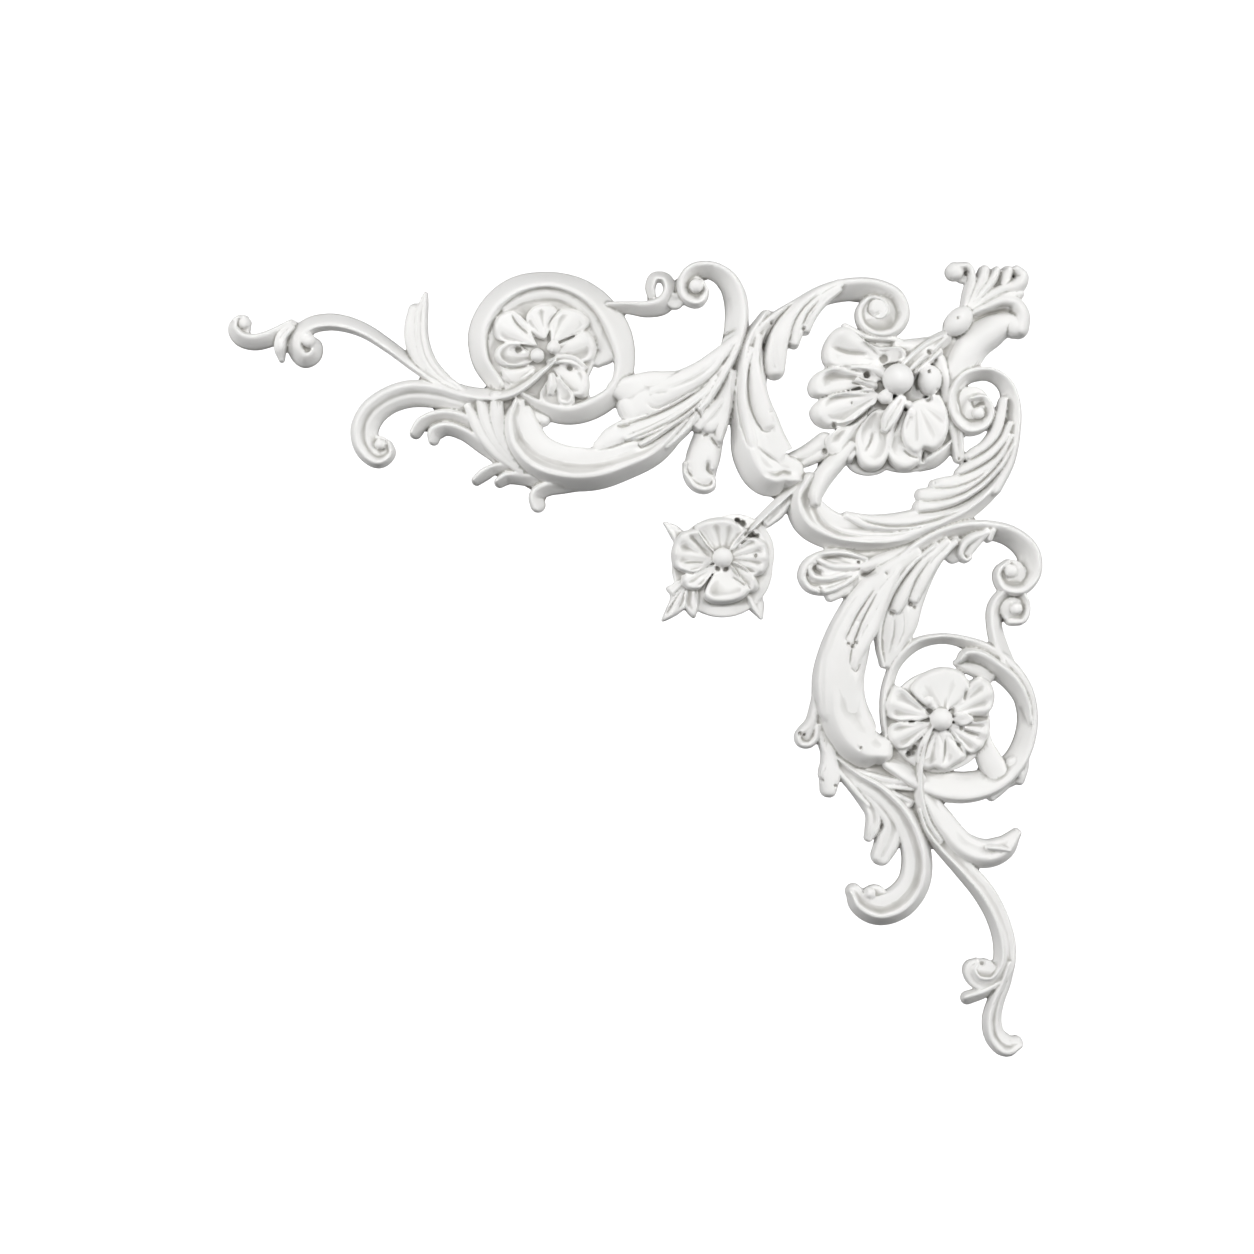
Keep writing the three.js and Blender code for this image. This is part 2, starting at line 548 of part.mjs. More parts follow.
// The scroll that holds the big flower from the right and from below
const rightScroll = () => [
  ridgeFlipped([
    [50, -48, 6, 16], [56, -35, 6, 16], [59.8, -21, 5.2, 16], [60.3, -8, 4.6, 15.5],
    [57.4, 1.9, 3.9, 15], [50.7, 7.3, 3.5, 14.5], [43.5, 7.8, 3.6, 14.5], [36.5, 5.2, 3.8, 14.5],
    [31.6, -2.2, 4.3, 14.5], [32.4, -11.5, 4.8, 14.5], [38.3, -18.2, 5, 14.5],
    [45.2, -16.8, 4.4, 14], [48.2, -10.8, 3.8, 13.5], [45.6, -5.4, 3.2, 13], [41, -5.6, 2.4, 12.5],
  ]),
  plate(40.5, -8, 7.4, 8),
  scroll([
    [56, -36, 5, 15], [49, -47, 7, 16], [37, -57, 8.2, 17], [22, -64.8, 8.4, 17.5],
    [5, -70.6, 9.6, 17.5], [-12, -72, 9.8, 17.5], [-27, -71, 9.6, 17.5], [-39.5, -64, 10.2, 17],
    [-43.5, -54.5, 8.4, 16], [-40.5, -47, 6, 15],
  ]),
  bead([
    [-20, -29, 4, 13], [-28, -37, 4.8, 15], [-34.5, -45, 4.8, 17], [-38, -53, 3.8, 18.5],
    [-38, -56, 3, 18.5],
  ]),
  spoon([
    [59, -14, 2.5, 16], [54, -25, 3.4, 16], [45, -34, 3.6, 15.5], [35, -39, 3.6, 15],
  ]),
  spoon([
    [58, -22, 2.5, 17], [50, -34.5, 3.2, 17], [37, -43, 3.2, 16.5], [24, -46.5, 3, 16],
  ]),
  spoon([
    [55, -32, 2.5, 17], [44, -43.5, 3.6, 17], [30, -50.5, 4.4, 16.5], [15, -54.5, 5.8, 16],
  ]),
];

// The stem of the rosette
const rosetteStem = () => [
  ridge([
    [-46, -46, 3, 12], [-54, -54, 2.4, 11], [-63, -62.5, 2, 10.5], [-71, -70.5, 1.8, 13],
    [-79, -79, 1.5, 13],
  ]),
  spoon([
    [-51, -55, 2, 9], [-56, -61, 3.6, 9.5], [-61.5, -66.5, 2.5, 9],
  ]),
];

// The rosette and its leaf tips
const rosette = () => [
  plate(-84, -88.6, 25.2, 7),
  plate(-77.5, -82, 19.6, 6.5, 20),
  plate(-76, -72, 8, 6.5, 8.3),
  petal([-84, -84], [
    [-72, -70.5], [-75.5, -66.5], [-80, -64.6], [-86, -64.2], [-92, -65], [-98, -68],
    [-96.5, -71.5], [-91, -79], [-87.5, -82],
  ], 9.5, 15),
  petal([-86, -85], [
    [-98, -69.6], [-104, -71], [-108, -76], [-109.6, -82], [-108.5, -88], [-104, -91.3],
    [-98, -91.6],
  ], 9.5, 14.5),
  petal([-85, -86.5], [
    [-104.5, -93], [-104.5, -97.5], [-100, -100.2], [-95.5, -99.6], [-93, -97],
  ], 9.5, 13.5),
  petal([-83.5, -85], [
    [-78, -89.5], [-75, -94], [-70.5, -100], [-73, -104], [-78, -106.3], [-84, -107.2],
    [-90, -106.6], [-93.2, -104], [-92.5, -100], [-90, -95],
  ], 9.5, 16),
  petal([-83, -85], [
    [-77.5, -86.5], [-72, -89.5], [-67, -95], [-66.2, -99], [-69, -101.6], [-72.5, -100.5],
    [-77, -95],
  ], 9.5, 14),
  petal([-83, -84], [
    [-69.5, -73.8], [-66, -74], [-63, -76.5], [-61, -82], [-61.5, -88], [-64.5, -92.5],
    [-68.5, -93.5],
  ], 9.5, 14),
  dome(-84, -84, 4.9, 17),
  spoon([
    [-103, -77, 4, 7], [-108, -70.5, 3.2, 7], [-112.6, -66.6, 1, 6],
  ]),
  petal([-100, -93], [
    [-103, -104], [-102.5, -110], [-98, -114.3], [-96.2, -110], [-95.8, -104], [-97, -97],
  ], 8, 9),
  petal([-100, -93], [
    [-108, -96.5], [-112.3, -99.2], [-110, -103], [-112, -109], [-114.4, -115.8], [-108, -113.5],
    [-103, -110],
  ], 8, 9.5),
  hookFlipped([
    [-70, -101, 4.5, 8], [-66.8, -108, 4.2, 8], [-64.6, -113.5, 1.4, 7],
  ]),
];

// The leaf that curls back under the right scroll
const pendantLeaf = () => [
  plate(-33, -91, 12, 7, 9),
  bead([
    [-24, -83, 3, 8], [-12, -84, 4, 8], [0, -82, 4, 8],
  ]),
  ridge([
    [-14.5, -89.5, 2, 12], [-22.5, -96.2, 4.2, 12.5], [-32, -100.3, 4.8, 12.5],
    [-40.9, -97, 5.2, 12.5], [-41.8, -89, 4.6, 12.5], [-34.5, -84.3, 4, 12.5],
    [-24, -84, 3.6, 12.5], [-14, -86.5, 2, 12],
  ]),
  bead([
    [-16, -88.5, 2, 11.5], [-26, -90, 3.5, 12], [-33, -90.5, 3, 12],
  ]),
  spoon([
    [-15, -92.5, 2, 9], [-24, -99.5, 3.2, 10], [-33, -104, 2.8, 9],
  ]),
  bead([
    [24, -73, 3, 13], [8, -81, 4, 13.5], [-6, -86, 4.2, 13.5], [-14, -88.5, 3, 13],
  ]),
];

// The scroll that runs down to the lower ring, with its leaves
const lowerScroll = () => [
  ridge([
    [-2, -92, 4, 15], [10, -82, 4.6, 15.5], [23, -74, 4.8, 15.5], [36, -70, 4.6, 15.5],
    [49, -70, 5, 15.5], [60.5, -73.5, 5.5, 15.5], [68.6, -81.5, 6, 15.5], [69.5, -91.5, 5.8, 15],
    [64.2, -98.3, 5, 14.5], [56.8, -97.5, 4.4, 14], [54.6, -91.5, 3.6, 13.5],
    [58.5, -87.3, 2.8, 13],
  ]),
  dome(59.3, -90.8, 3.2, 14.5),
  plate(60, -92, 7, 8),
  scrollFlipped([
    [12, -82, 4, 15], [0, -91, 6.5, 16], [-10.5, -102, 8.5, 17], [-18, -116, 10.5, 17.5],
    [-23, -131, 12.5, 18], [-26.3, -146, 13.2, 18], [-25, -160, 14, 18], [-20, -171.5, 14, 18],
    [-12.5, -178.5, 11.5, 17.5], [-6.5, -180, 8, 16.5],
  ]),
  spoon([
    [2, -88, 2, 17], [-7, -101, 3.2, 18.5], [-13, -115, 3.8, 19.5], [-17.5, -128, 3.4, 20],
    [-19, -135.5, 2.6, 20],
  ]),
  plate(31, -80, 5, 9, 7),
  spoon([
    [27, -77, 4, 11], [16, -89, 7, 11], [8.5, -103, 8.4, 11], [4.2, -116, 9.4, 11.5],
    [1, -127, 7, 11], [-2.7, -137, 3, 10],
  ]),
  spoon([
    [30, -73, 2, 15], [19, -84, 3, 15], [12.5, -95, 3, 15], [9.5, -104, 2.2, 14.5],
  ]),
  bead([
    [48, -71, 2.5, 17], [41, -74, 3, 17], [36.5, -79, 3, 16], [38, -84.5, 2.2, 14],
  ]),
];

// The small volute beside the lower scroll
const smallVolute = () => [
  ridge([
    [60, -140, 4, 13], [55, -129, 4.4, 13], [52, -118, 4.1, 13], [52.3, -108.5, 4, 13],
    [57, -102.5, 3.6, 13], [63.5, -102.2, 3.2, 13], [66.6, -107.5, 3.1, 12.5],
    [64.8, -113.5, 4, 12], [60.5, -114.2, 4, 11],
  ]),
  dome(62, -109.3, 3, 13),
  plate(60.5, -110, 6, 6),
];

// The ring around the lower flower
const lowerRing = () => [
  ridge([
    [0, -178, 2.5, 10], [-2.2, -165, 3, 10.5], [-1.6, -150, 3.2, 11], [2.9, -137.1, 2.9, 11],
    [12.6, -127.4, 3.2, 11], [25, -124.3, 2.8, 11.5], [37, -126, 3.2, 12], [48, -130.5, 4.2, 12.5],
    [58, -139, 5.5, 13], [65.5, -150, 5.6, 13.5], [68.5, -162, 5.2, 13.5], [67, -174.5, 5.4, 13.5],
    [61.5, -186, 6, 13.5], [52, -194.5, 7, 13.5], [39, -198.5, 8, 13.5], [25, -197.5, 8, 13],
    [12, -192.5, 7, 12.5], [0, -186, 5, 12],
  ]),
  ridgeFlipped([
    [68, -166, 2, 14], [65.9, -156, 3.3, 15], [60.2, -146.2, 4.4, 16], [51, -139, 4.9, 16.5],
    [42, -135, 5, 16.5], [35.5, -134.8, 3.6, 16],
  ]),
];

// The lower flower, on the low plate that fills its ring
const lowerRingFlower = () => [
  plate(25, -166, 26.5, 6.5),
  plate(3, -184, 8, 6, 7),
  plate(-5, -190, 8, 5, 6),
  plate(8, -200, 7, 5, 6),
  bead([
    [33, -136.5, 1.8, 9], [38, -138.5, 3.2, 9.5], [44, -140.3, 4, 10], [49, -143.5, 3, 10],
  ]),
  bead([
    [47.5, -160, 4, 7], [49, -171, 4.6, 8], [45, -182, 6, 8], [37, -187.5, 5, 8],
  ]),
  petal([26, -161], [
    [32, -157], [36.5, -152.5], [38.6, -147], [36.5, -142], [31, -139], [25, -138.4], [18, -140.6],
    [12, -144.8], [9.5, -149.5], [13.5, -155], [20, -159.5],
  ], 13.5, 13),
  petal([20, -163], [
    [16.5, -159], [12, -155], [6.5, -149.5], [2, -147.6], [-1.6, -152], [-3, -158], [-2, -163],
    [3, -165.3], [10, -165], [16, -164.6],
  ], 10.5, 13.5),
  petal([20, -166], [
    [15, -165.4], [8, -166.2], [0, -166.6], [-2.6, -170.5], [-1, -176], [3, -179.6], [8, -178.6],
    [12.5, -175.5], [17, -170],
  ], 10.5, 12.5),
  petal([22.5, -168], [
    [19, -171.5], [16.5, -177], [14.6, -183], [13.6, -187.3], [17.2, -190], [21.5, -189],
    [26, -190.3], [31, -187.8], [36, -184.6], [37.5, -181.5], [33, -175.5], [29, -170.5],
  ], 10, 13),
  petal([27, -167], [
    [31, -172.5], [36.5, -179.5], [40.5, -181.8], [45.5, -178.4], [48.8, -172], [49.2, -165.5],
    [44, -165.4],
  ], 10.5, 13),
  petal([28, -162], [
    [47.5, -162.8], [51, -157.5], [51.5, -151], [49, -145.6], [44, -143.4], [39.5, -145.4],
  ], 12, 13),
  dome(24.5, -164.4, 5.5, 19),
];

// The lower vine, its leaves and the tail
const lowerVineAndTail = () => [
  ridge([
    [20, -166, 1.8, 15], [15.8, -177, 2.2, 15], [13.3, -190, 2.6, 15], [13.3, -203, 3, 14.5],
    [17, -216, 3.6, 13.5], [25.5, -228, 4, 12.5], [36.2, -239, 5, 12], [46.5, -250.9, 5.6, 12],
    [53.4, -263.6, 5.5, 12], [57, -277, 5.6, 12], [56.2, -287.5, 5.6, 12], [50.5, -294.5, 5, 11.5],
    [43, -294, 5, 11], [40, -288.5, 4, 10.5], [43, -285.8, 2.2, 10],
  ]),
  dome(48.5, -288, 2.6, 10.5),
  plate(46.5, -290, 6, 6),
  shellFlipped([
    [14, -192, 2.5, 13], [17.5, -203, 5, 13], [25, -215.5, 7, 13.5], [36, -228, 7.4, 13.5],
    [47.5, -231.8, 7.4, 13.5], [56.6, -228.6, 6.3, 13], [62.8, -221.6, 2.8, 11],
  ]),
  spoon([
    [-20, -190, 2, 9], [-6, -195, 3.4, 10], [10, -198, 2.5, 10],
  ]),
  spoon([
    [-18, -193, 2, 9], [-4, -201, 3.6, 10], [9, -206, 2.5, 10],
  ]),
  bead([
    [-28, -184, 3, 11], [-18, -192.5, 4.5, 12], [-6, -200, 5.5, 13], [4, -210, 6.4, 14],
    [10.5, -222, 7.2, 14.5], [13.4, -235, 7.8, 15], [11.5, -247, 8.3, 15], [4, -256, 8.8, 15],
    [-6, -259.3, 8.4, 14.5], [-14.5, -256, 6.8, 13.5], [-18.5, -250.5, 4.2, 12.5],
  ]),
  plate(-8, -252, 6, 8, 5),
  spoon([
    [-20, -194, 2.5, 9], [-12, -204, 4, 9.5], [-8.5, -213, 4, 10], [-9.5, -220, 3.5, 10],
    [-11, -223.5, 2.4, 9],
  ]),
  spoon([
    [-17, -196, 2.5, 9.5], [-6, -206, 4.6, 10.5], [0.5, -217, 5, 11], [-1.6, -226, 6.4, 11],
    [-4.6, -232.4, 5.4, 10.5],
  ]),
  spoon([
    [-33, -172, 3, 10], [-31, -182, 4, 10.5], [-30.5, -192, 5.4, 11], [-31.5, -200.5, 4.4, 10.5],
  ]),
  bead([
    [-36, -148, 2.4, 9], [-38, -160, 3, 9.5], [-41, -169, 3.8, 10], [-43.6, -174.3, 4.6, 10],
  ]),
  bead([
    [67.4, -180, 2, 10], [66.8, -188, 2.4, 10], [64.4, -194.8, 2.8, 9.5],
  ]),
  bead([
    [62, -190, 3, 10], [56, -198, 3, 9.5], [50.5, -203.3, 2.4, 9],
  ]),
  ridgeFlipped([
    [56, -295, 2, 10], [48, -300.5, 3, 10], [38.5, -303.8, 3.6, 10],
  ]),
  hookFlipped([
    [59.5, -287, 3, 11], [56.7, -296.4, 3.6, 11], [52.9, -305.2, 4.3, 11], [50.8, -314.5, 5, 11],
    [52.5, -323, 5.4, 11], [58, -327.6, 5.8, 11], [62.5, -326.2, 3.8, 10],
  ]),
];

// The block that stands for the wall when the back is cut flat
const WALL_SIZE = 4 * SPAN;

// Everything in front of the wall plane
function casting() {
  const forms = [
    vineAndTail, upperLeaf, leftHook, knobbedLeaves, calyxBlades, leftScroll, leftScrollLobes,
    tongueLeaf, upperRing, upperRingFlower, topCurl, centreLeftScroll, bigFlower, horn,
    rightScroll, rosetteStem, rosette, pendantLeaf, lowerScroll, smallVolute,
    lowerRing, lowerRingFlower, lowerVineAndTail,
  ];
  const joined = forms.flatMap((make) => make()).reduce((whole, form) => whole.add(form));
  const behind = new THREE.BoxGeometry(WALL_SIZE, SPAN, WALL_SIZE);
  behind.translate(0, SPAN / 2, 0);
  return joined.subtract(solidFrom(behind));
}

// A joined solid as a three.js geometry
function geometryFrom(solid) {
  const { vertProperties, triVerts } = solid.getMesh();
  const geometry = new THREE.BufferGeometry();
  geometry.setAttribute('position', new THREE.BufferAttribute(new Float32Array(vertProperties), 3));
  geometry.setIndex(new THREE.BufferAttribute(new Uint32Array(triVerts), 1));
  return geometry;
}

const whitePrimer = new THREE.MeshStandardMaterial({ color: 0xf2f1ee, roughness: 0.62, metalness: 0 });

const applique = new THREE.Mesh(geometryFrom(casting()), whitePrimer);
applique.name = 'applique';

const cornerApplique = new THREE.Group();
cornerApplique.add(applique);

export default cornerApplique;
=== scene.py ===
"""Corner applique: a white primed cast relief of leaf scrolls, rings, flowers and curls.

The casting is carved form by form on a drawing sheet, joined into one body, given a flat back that
sits on the wall plane of the frame, and finished in a matt white primer. The drawing sheet is in
millimetres: x runs right, z runs up, and the relief stands out of the wall towards -y.
"""

import logging
import math
from collections.abc import Sequence
from dataclasses import dataclass, field
from enum import Enum

import bmesh
import bpy
import numpy as np
from mathutils import Matrix, Vector
from mathutils.kdtree import KDTree


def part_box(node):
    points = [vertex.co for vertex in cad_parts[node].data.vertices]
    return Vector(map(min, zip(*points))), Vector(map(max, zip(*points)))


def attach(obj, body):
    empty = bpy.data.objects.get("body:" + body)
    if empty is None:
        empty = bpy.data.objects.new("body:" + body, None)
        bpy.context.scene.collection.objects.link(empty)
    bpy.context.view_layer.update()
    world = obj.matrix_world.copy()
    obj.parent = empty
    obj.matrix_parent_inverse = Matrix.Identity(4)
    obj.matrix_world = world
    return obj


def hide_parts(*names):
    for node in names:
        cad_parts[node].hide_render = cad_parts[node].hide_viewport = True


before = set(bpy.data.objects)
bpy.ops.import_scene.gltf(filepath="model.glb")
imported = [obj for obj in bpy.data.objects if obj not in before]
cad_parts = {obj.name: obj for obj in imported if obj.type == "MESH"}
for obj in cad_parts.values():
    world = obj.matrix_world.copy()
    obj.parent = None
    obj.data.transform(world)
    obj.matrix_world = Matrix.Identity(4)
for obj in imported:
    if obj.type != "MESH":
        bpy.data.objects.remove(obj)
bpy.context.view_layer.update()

MM = 0.001
PHOTO_PIXELS = 1254
MM_PER_PIXEL = 0.5
ORIGIN_PIXEL = (890, 390)
BODY = "root"
NODE = "applique"

Station = tuple[float, float, float, float]

log = logging.getLogger("corner_applique")


class Section(Enum):
    """Cross-sections of a carved form, from its left foot over the crest to its right foot.

    Each row is (share of the half width, share of the height).
    """

    BEAD = ((-1, 0), (-0.95, 0.36), (-0.8, 0.68), (-0.45, 0.93), (0, 1), (0.45, 0.93), (0.8, 0.68),
            (0.95, 0.36), (1, 0))
    RIDGE = ((-1, 0), (-0.95, 0.4), (-0.82, 0.78), (-0.6, 1), (-0.38, 0.98), (0.1, 0.77),
             (0.55, 0.48), (0.86, 0.24), (1, 0))
    HOOK = ((-1, 0), (-0.94, 0.42), (-0.75, 0.84), (-0.5, 1), (-0.2, 0.9), (0.1, 0.76),
            (0.3, 0.76), (0.55, 0.66), (0.9, 0.4), (1, 0))
    SCROLL = ((-1, 0), (-0.96, 0.2), (-0.8, 0.47), (-0.6, 0.76), (-0.42, 0.97), (-0.34, 1),
              (-0.26, 0.98), (-0.12, 0.87), (0.05, 0.8), (0.25, 0.77), (0.5, 0.79),
              (0.82, 0.78), (0.95, 0.5), (1, 0))
    SHELL = ((-1, 0), (-0.95, 0.25), (-0.78, 0.58), (-0.5, 0.88), (-0.25, 1), (0, 0.96),
             (0.4, 0.86), (0.8, 0.76), (0.94, 0.5), (1, 0))
    SPOON = ((-1, 0), (-0.94, 0.48), (-0.76, 0.9), (-0.5, 0.98), (-0.2, 0.92), (0.1, 0.89),
             (0.45, 0.94), (0.74, 0.9), (0.94, 0.5), (1, 0))
    LEAF = ((-1, 0), (-0.97, 0.42), (-0.88, 0.8), (-0.7, 0.95), (-0.35, 1), (0.1, 0.985),
            (0.5, 0.93), (0.8, 0.8), (0.95, 0.45), (1, 0))

    def heights(self, shares: np.ndarray) -> np.ndarray:
        """Smooth monotone curve through the section's rows.

        Args:
            shares: places across the form, from -1 at its left foot to 1 at its right foot.

        Returns:
            The share of the form's height at each place.
        """
        across = np.array([row[0] for row in self.value], float)
        rise = np.array([row[1] for row in self.value], float)
        gap = np.diff(across)
        slope = np.diff(rise) / gap
        tangent = np.zeros_like(across)
        tangent[0], tangent[-1] = slope[0], slope[-1]
        for i in range(1, len(across) - 1):
            if slope[i - 1] * slope[i] > 0:
                before, after = 2 * gap[i] + gap[i - 1], gap[i] + 2 * gap[i - 1]
                tangent[i] = (before + after) / (before / slope[i - 1] + after / slope[i])
        k = np.clip(np.searchsorted(across, shares) - 1, 0, len(gap) - 1)
        t = (shares - across[k]) / gap[k]
        return ((1 + 2 * t) * (1 - t) ** 2 * rise[k] + t * (1 - t) ** 2 * gap[k] * tangent[k]
                + t * t * (3 - 2 * t) * rise[k + 1] + t * t * (t - 1) * gap[k] * tangent[k + 1])


class Side(Enum):
    """The side of a lobe, seen along its travel, on which its foot follows the drawn line."""

    LEFT = 1
    RIGHT = -1


def curve_through(stations: Sequence[Station], step: float) -> list[Vector]:
    """Centripetal Catmull-Rom curve through given stations.

    Args:
        stations: (x, z, half width, height) rows, in millimetres.
        step: about how far apart the returned rows lie, in millimetres.

    Returns:
        Rows of the same four numbers, closely spaced.
    """
    rows = [Vector(station) for station in stations]
    rows = [2 * rows[0] - rows[1], *rows, 2 * rows[-1] - rows[-2]]
    found: list[Vector] = []
    for a, b, c, d in zip(rows, rows[1:], rows[2:], rows[3:]):
        knots = [0.0]
        for p, q in ((a, b), (b, c), (c, d)):
            knots.append(knots[-1] + max((q.xy - p.xy).length, 1e-6) ** 0.5)
        t0, t1, t2, t3 = knots
        count = max(2, int((c.xy - b.xy).length / step))
        for i in range(count):
            t = t1 + (t2 - t1) * i / count
            ab = a.lerp(b, (t - t0) / (t1 - t0))
            bc = b.lerp(c, (t - t1) / (t2 - t1))
            cd = c.lerp(d, (t - t2) / (t3 - t2))
            abc = ab.lerp(bc, (t - t0) / (t2 - t0))
            bcd = bc.lerp(cd, (t - t1) / (t3 - t1))
            found.append(abc.lerp(bcd, (t - t1) / (t2 - t1)))
    found.append(rows[-2])
    return found


@dataclass
class Bench:
    """Where the forms are carved, one closed shell each, before they are joined.

    Forms overlap as the carver's do, and every one runs on a little behind the wall plane. All
    lengths are in millimetres on the drawing sheet.
    """

    step: float = 1.0
    across_count: int = 23
    end_rings: int = 5
    behind: float = 1.2
    fan_rows: tuple[float, ...] = tuple(0.05 + 0.8 * i / 12 for i in range(13)) + tuple(
        1 - 0.15 * (1 - i / 6) ** 1.6 for i in range(1, 7))
    lip_place: float = 0.87
    lip_width: float = 0.07
    rim_share: float = 0.45
    rim_power: float = 2.4
    fan_rise_power: float = 1.3
    fan_side_fall: float = 0.12
    fan_side_power: int = 5
    fan_flute_onset: float = 1.6
    end_turn: float = 86.0
    crease_inset: float = 0.93
    crease_width: float = 1.0
    crease_depth: float = 1.7
    crease_turns: tuple[float, ...] = (25.0, 50.0, 75.0)
    ball_segments: tuple[int, int] = (24, 16)
    stud_squash: float = 0.05
    plate_segments: int = 48
    plate_bevel: float = 1.2
    plate_bevel_steps: int = 3
    groove_step: float = 0.5
    work: bmesh.types.BMesh = field(default_factory=bmesh.new)
    grooves: list[tuple[float, float, list[Vector]]] = field(default_factory=list)
    pits: list[tuple[float, float, float, float]] = field(default_factory=list)

    def _keep(self, shell: bmesh.types.BMesh) -> None:
        """Adds one closed shell to the work, in metres, with its faces outwards.

        Args:
            shell: the shell, in millimetres, which is freed.
        """
        bmesh.ops.recalc_face_normals(shell, faces=shell.faces)
        bmesh.ops.scale(shell, vec=(MM, MM, MM), verts=shell.verts)
        mesh = bpy.data.meshes.new("form")
        shell.to_mesh(mesh)
        shell.free()
        self.work.from_mesh(mesh)
        bpy.data.meshes.remove(mesh)

    def _stand(self, shell: bmesh.types.BMesh) -> None:
        """Turns a shell that was made lying down, so that its top faces the front."""
        bmesh.ops.rotate(shell, cent=(0, 0, 0), matrix=Matrix.Rotation(math.pi / 2, 3, "X"),
                         verts=shell.verts)

    def _rounded(self, row: Vector, heading: Vector, side: int) -> list[tuple[Vector, Vector]]:
        """Rings that shrink past one end of a form, so that the end is round.

        Args:
            row: the last station at that end.
            heading: the direction in which the form runs there.
            side: 1 at the far end, -1 at the near end.

        Returns:
            Rows with their headings, from the form outwards.
        """
        rings = []
        for i in range(1, self.end_rings + 1):
            phase = math.radians(self.end_turn) * i / self.end_rings
            end = row.copy()
            end.xy = row.xy + side * heading * row[2] * math.sin(phase)
            end[2] = row[2] * math.cos(phase)
            end[3] = row[3] * math.sqrt(1 - math.sin(phase) ** 4)
            rings.append((end, heading))
        return rings

    def stroke(self, section: Section, stations: Sequence[Station], flip: bool = False) -> None:
        """Carves a form along a curve: a grid rolled into a tube with a flat foot.

        Args:
            section: the form's cross-section.
            stations: (x, z, half width, height) rows along it, in millimetres.
            flip: whether the section's left foot lies on the right.
        """
        line = curve_through(stations, self.step)
        headings = []
        for i, row in enumerate(line):
            ahead, behind = line[min(i + 1, len(line) - 1)], line[max(i - 1, 0)]
            headings.append((ahead.xy - behind.xy).normalized())
        rings = self._rounded(line[0], headings[0], -1)[::-1]
        rings += list(zip(line, headings))
        rings += self._rounded(line[-1], headings[-1], 1)

        shares = np.sin(np.linspace(-1, 1, self.across_count) * math.pi / 2)
        rises = section.heights(shares)
        if flip:
            rises = rises[::-1]
        feet = [(1.0, None), (-1.0, None)]
        outline = [(float(s), float(r)) for s, r in zip(shares, rises)] + feet
        around = len(outline)
        shell = bmesh.new()
        bmesh.ops.create_grid(shell, x_segments=len(rings) - 1, y_segments=around, size=1)
        for vert in shell.verts:
            row, heading = rings[round((vert.co.x + 1) / 2 * (len(rings) - 1))]
            share, rise = outline[round((vert.co.y + 1) / 2 * around) % around]
            offset = share * row[2]
            y = self.behind if rise is None else -rise * row[3]
            vert.co = (row[0] + heading.y * offset, y, row[1] - heading.x * offset)
        bmesh.ops.remove_doubles(shell, verts=shell.verts, dist=1e-5)
        rims = [edge for edge in shell.edges if edge.is_boundary]
        bmesh.ops.holes_fill(shell, edges=rims, sides=0)
        self._keep(shell)

    def bead(self, stations: Sequence[Station]) -> None:
        """A round stem."""
        self.stroke(Section.BEAD, stations)

    def leaf(self, stations: Sequence[Station]) -> None:
        """A broad soft leaf lobe, a little higher on its left."""
        self.stroke(Section.LEAF, stations)

    def lobe(self, side: Side, stations: Sequence[Station]) -> None:
        """A leaf lobe whose foot follows a drawn line on one side, with a crease along it.

        Args:
            side: the side on which the stations give the lobe's foot, not its middle.
            stations: (x, z, half width, height) rows along that foot.
        """
        centres: list[Station] = []
        for i, (x, z, half, height) in enumerate(stations):
            behind, ahead = stations[max(i - 1, 0)], stations[min(i + 1, len(stations) - 1)]
            run = math.hypot(ahead[0] - behind[0], ahead[1] - behind[1])
            along = ((ahead[0] - behind[0]) / run, (ahead[1] - behind[1]) / run)
            inward = (side.value * along[1], -side.value * along[0])
            inset = half * self.crease_inset
            centres.append((round(x + inward[0] * inset, 1), round(z + inward[1] * inset, 1),
                            half, height))
        self.leaf(centres)

        crease = [(x, z) for x, z, _, _ in stations[1:]]
        x, z = centres[-1][:2]
        for turn in self.crease_turns:
            back, out = half * math.cos(math.radians(turn)), half * math.sin(math.radians(turn))
            crease.append((round(x - inward[0] * back + along[0] * out, 1),
                           round(z - inward[1] * back + along[1] * out, 1)))
        self.groove(crease, self.crease_width, self.crease_depth)

    def spoon(self, stations: Sequence[Station]) -> None:
        """A leaf lobe or petal with raised edges round a hollow."""
        self.stroke(Section.SPOON, stations)

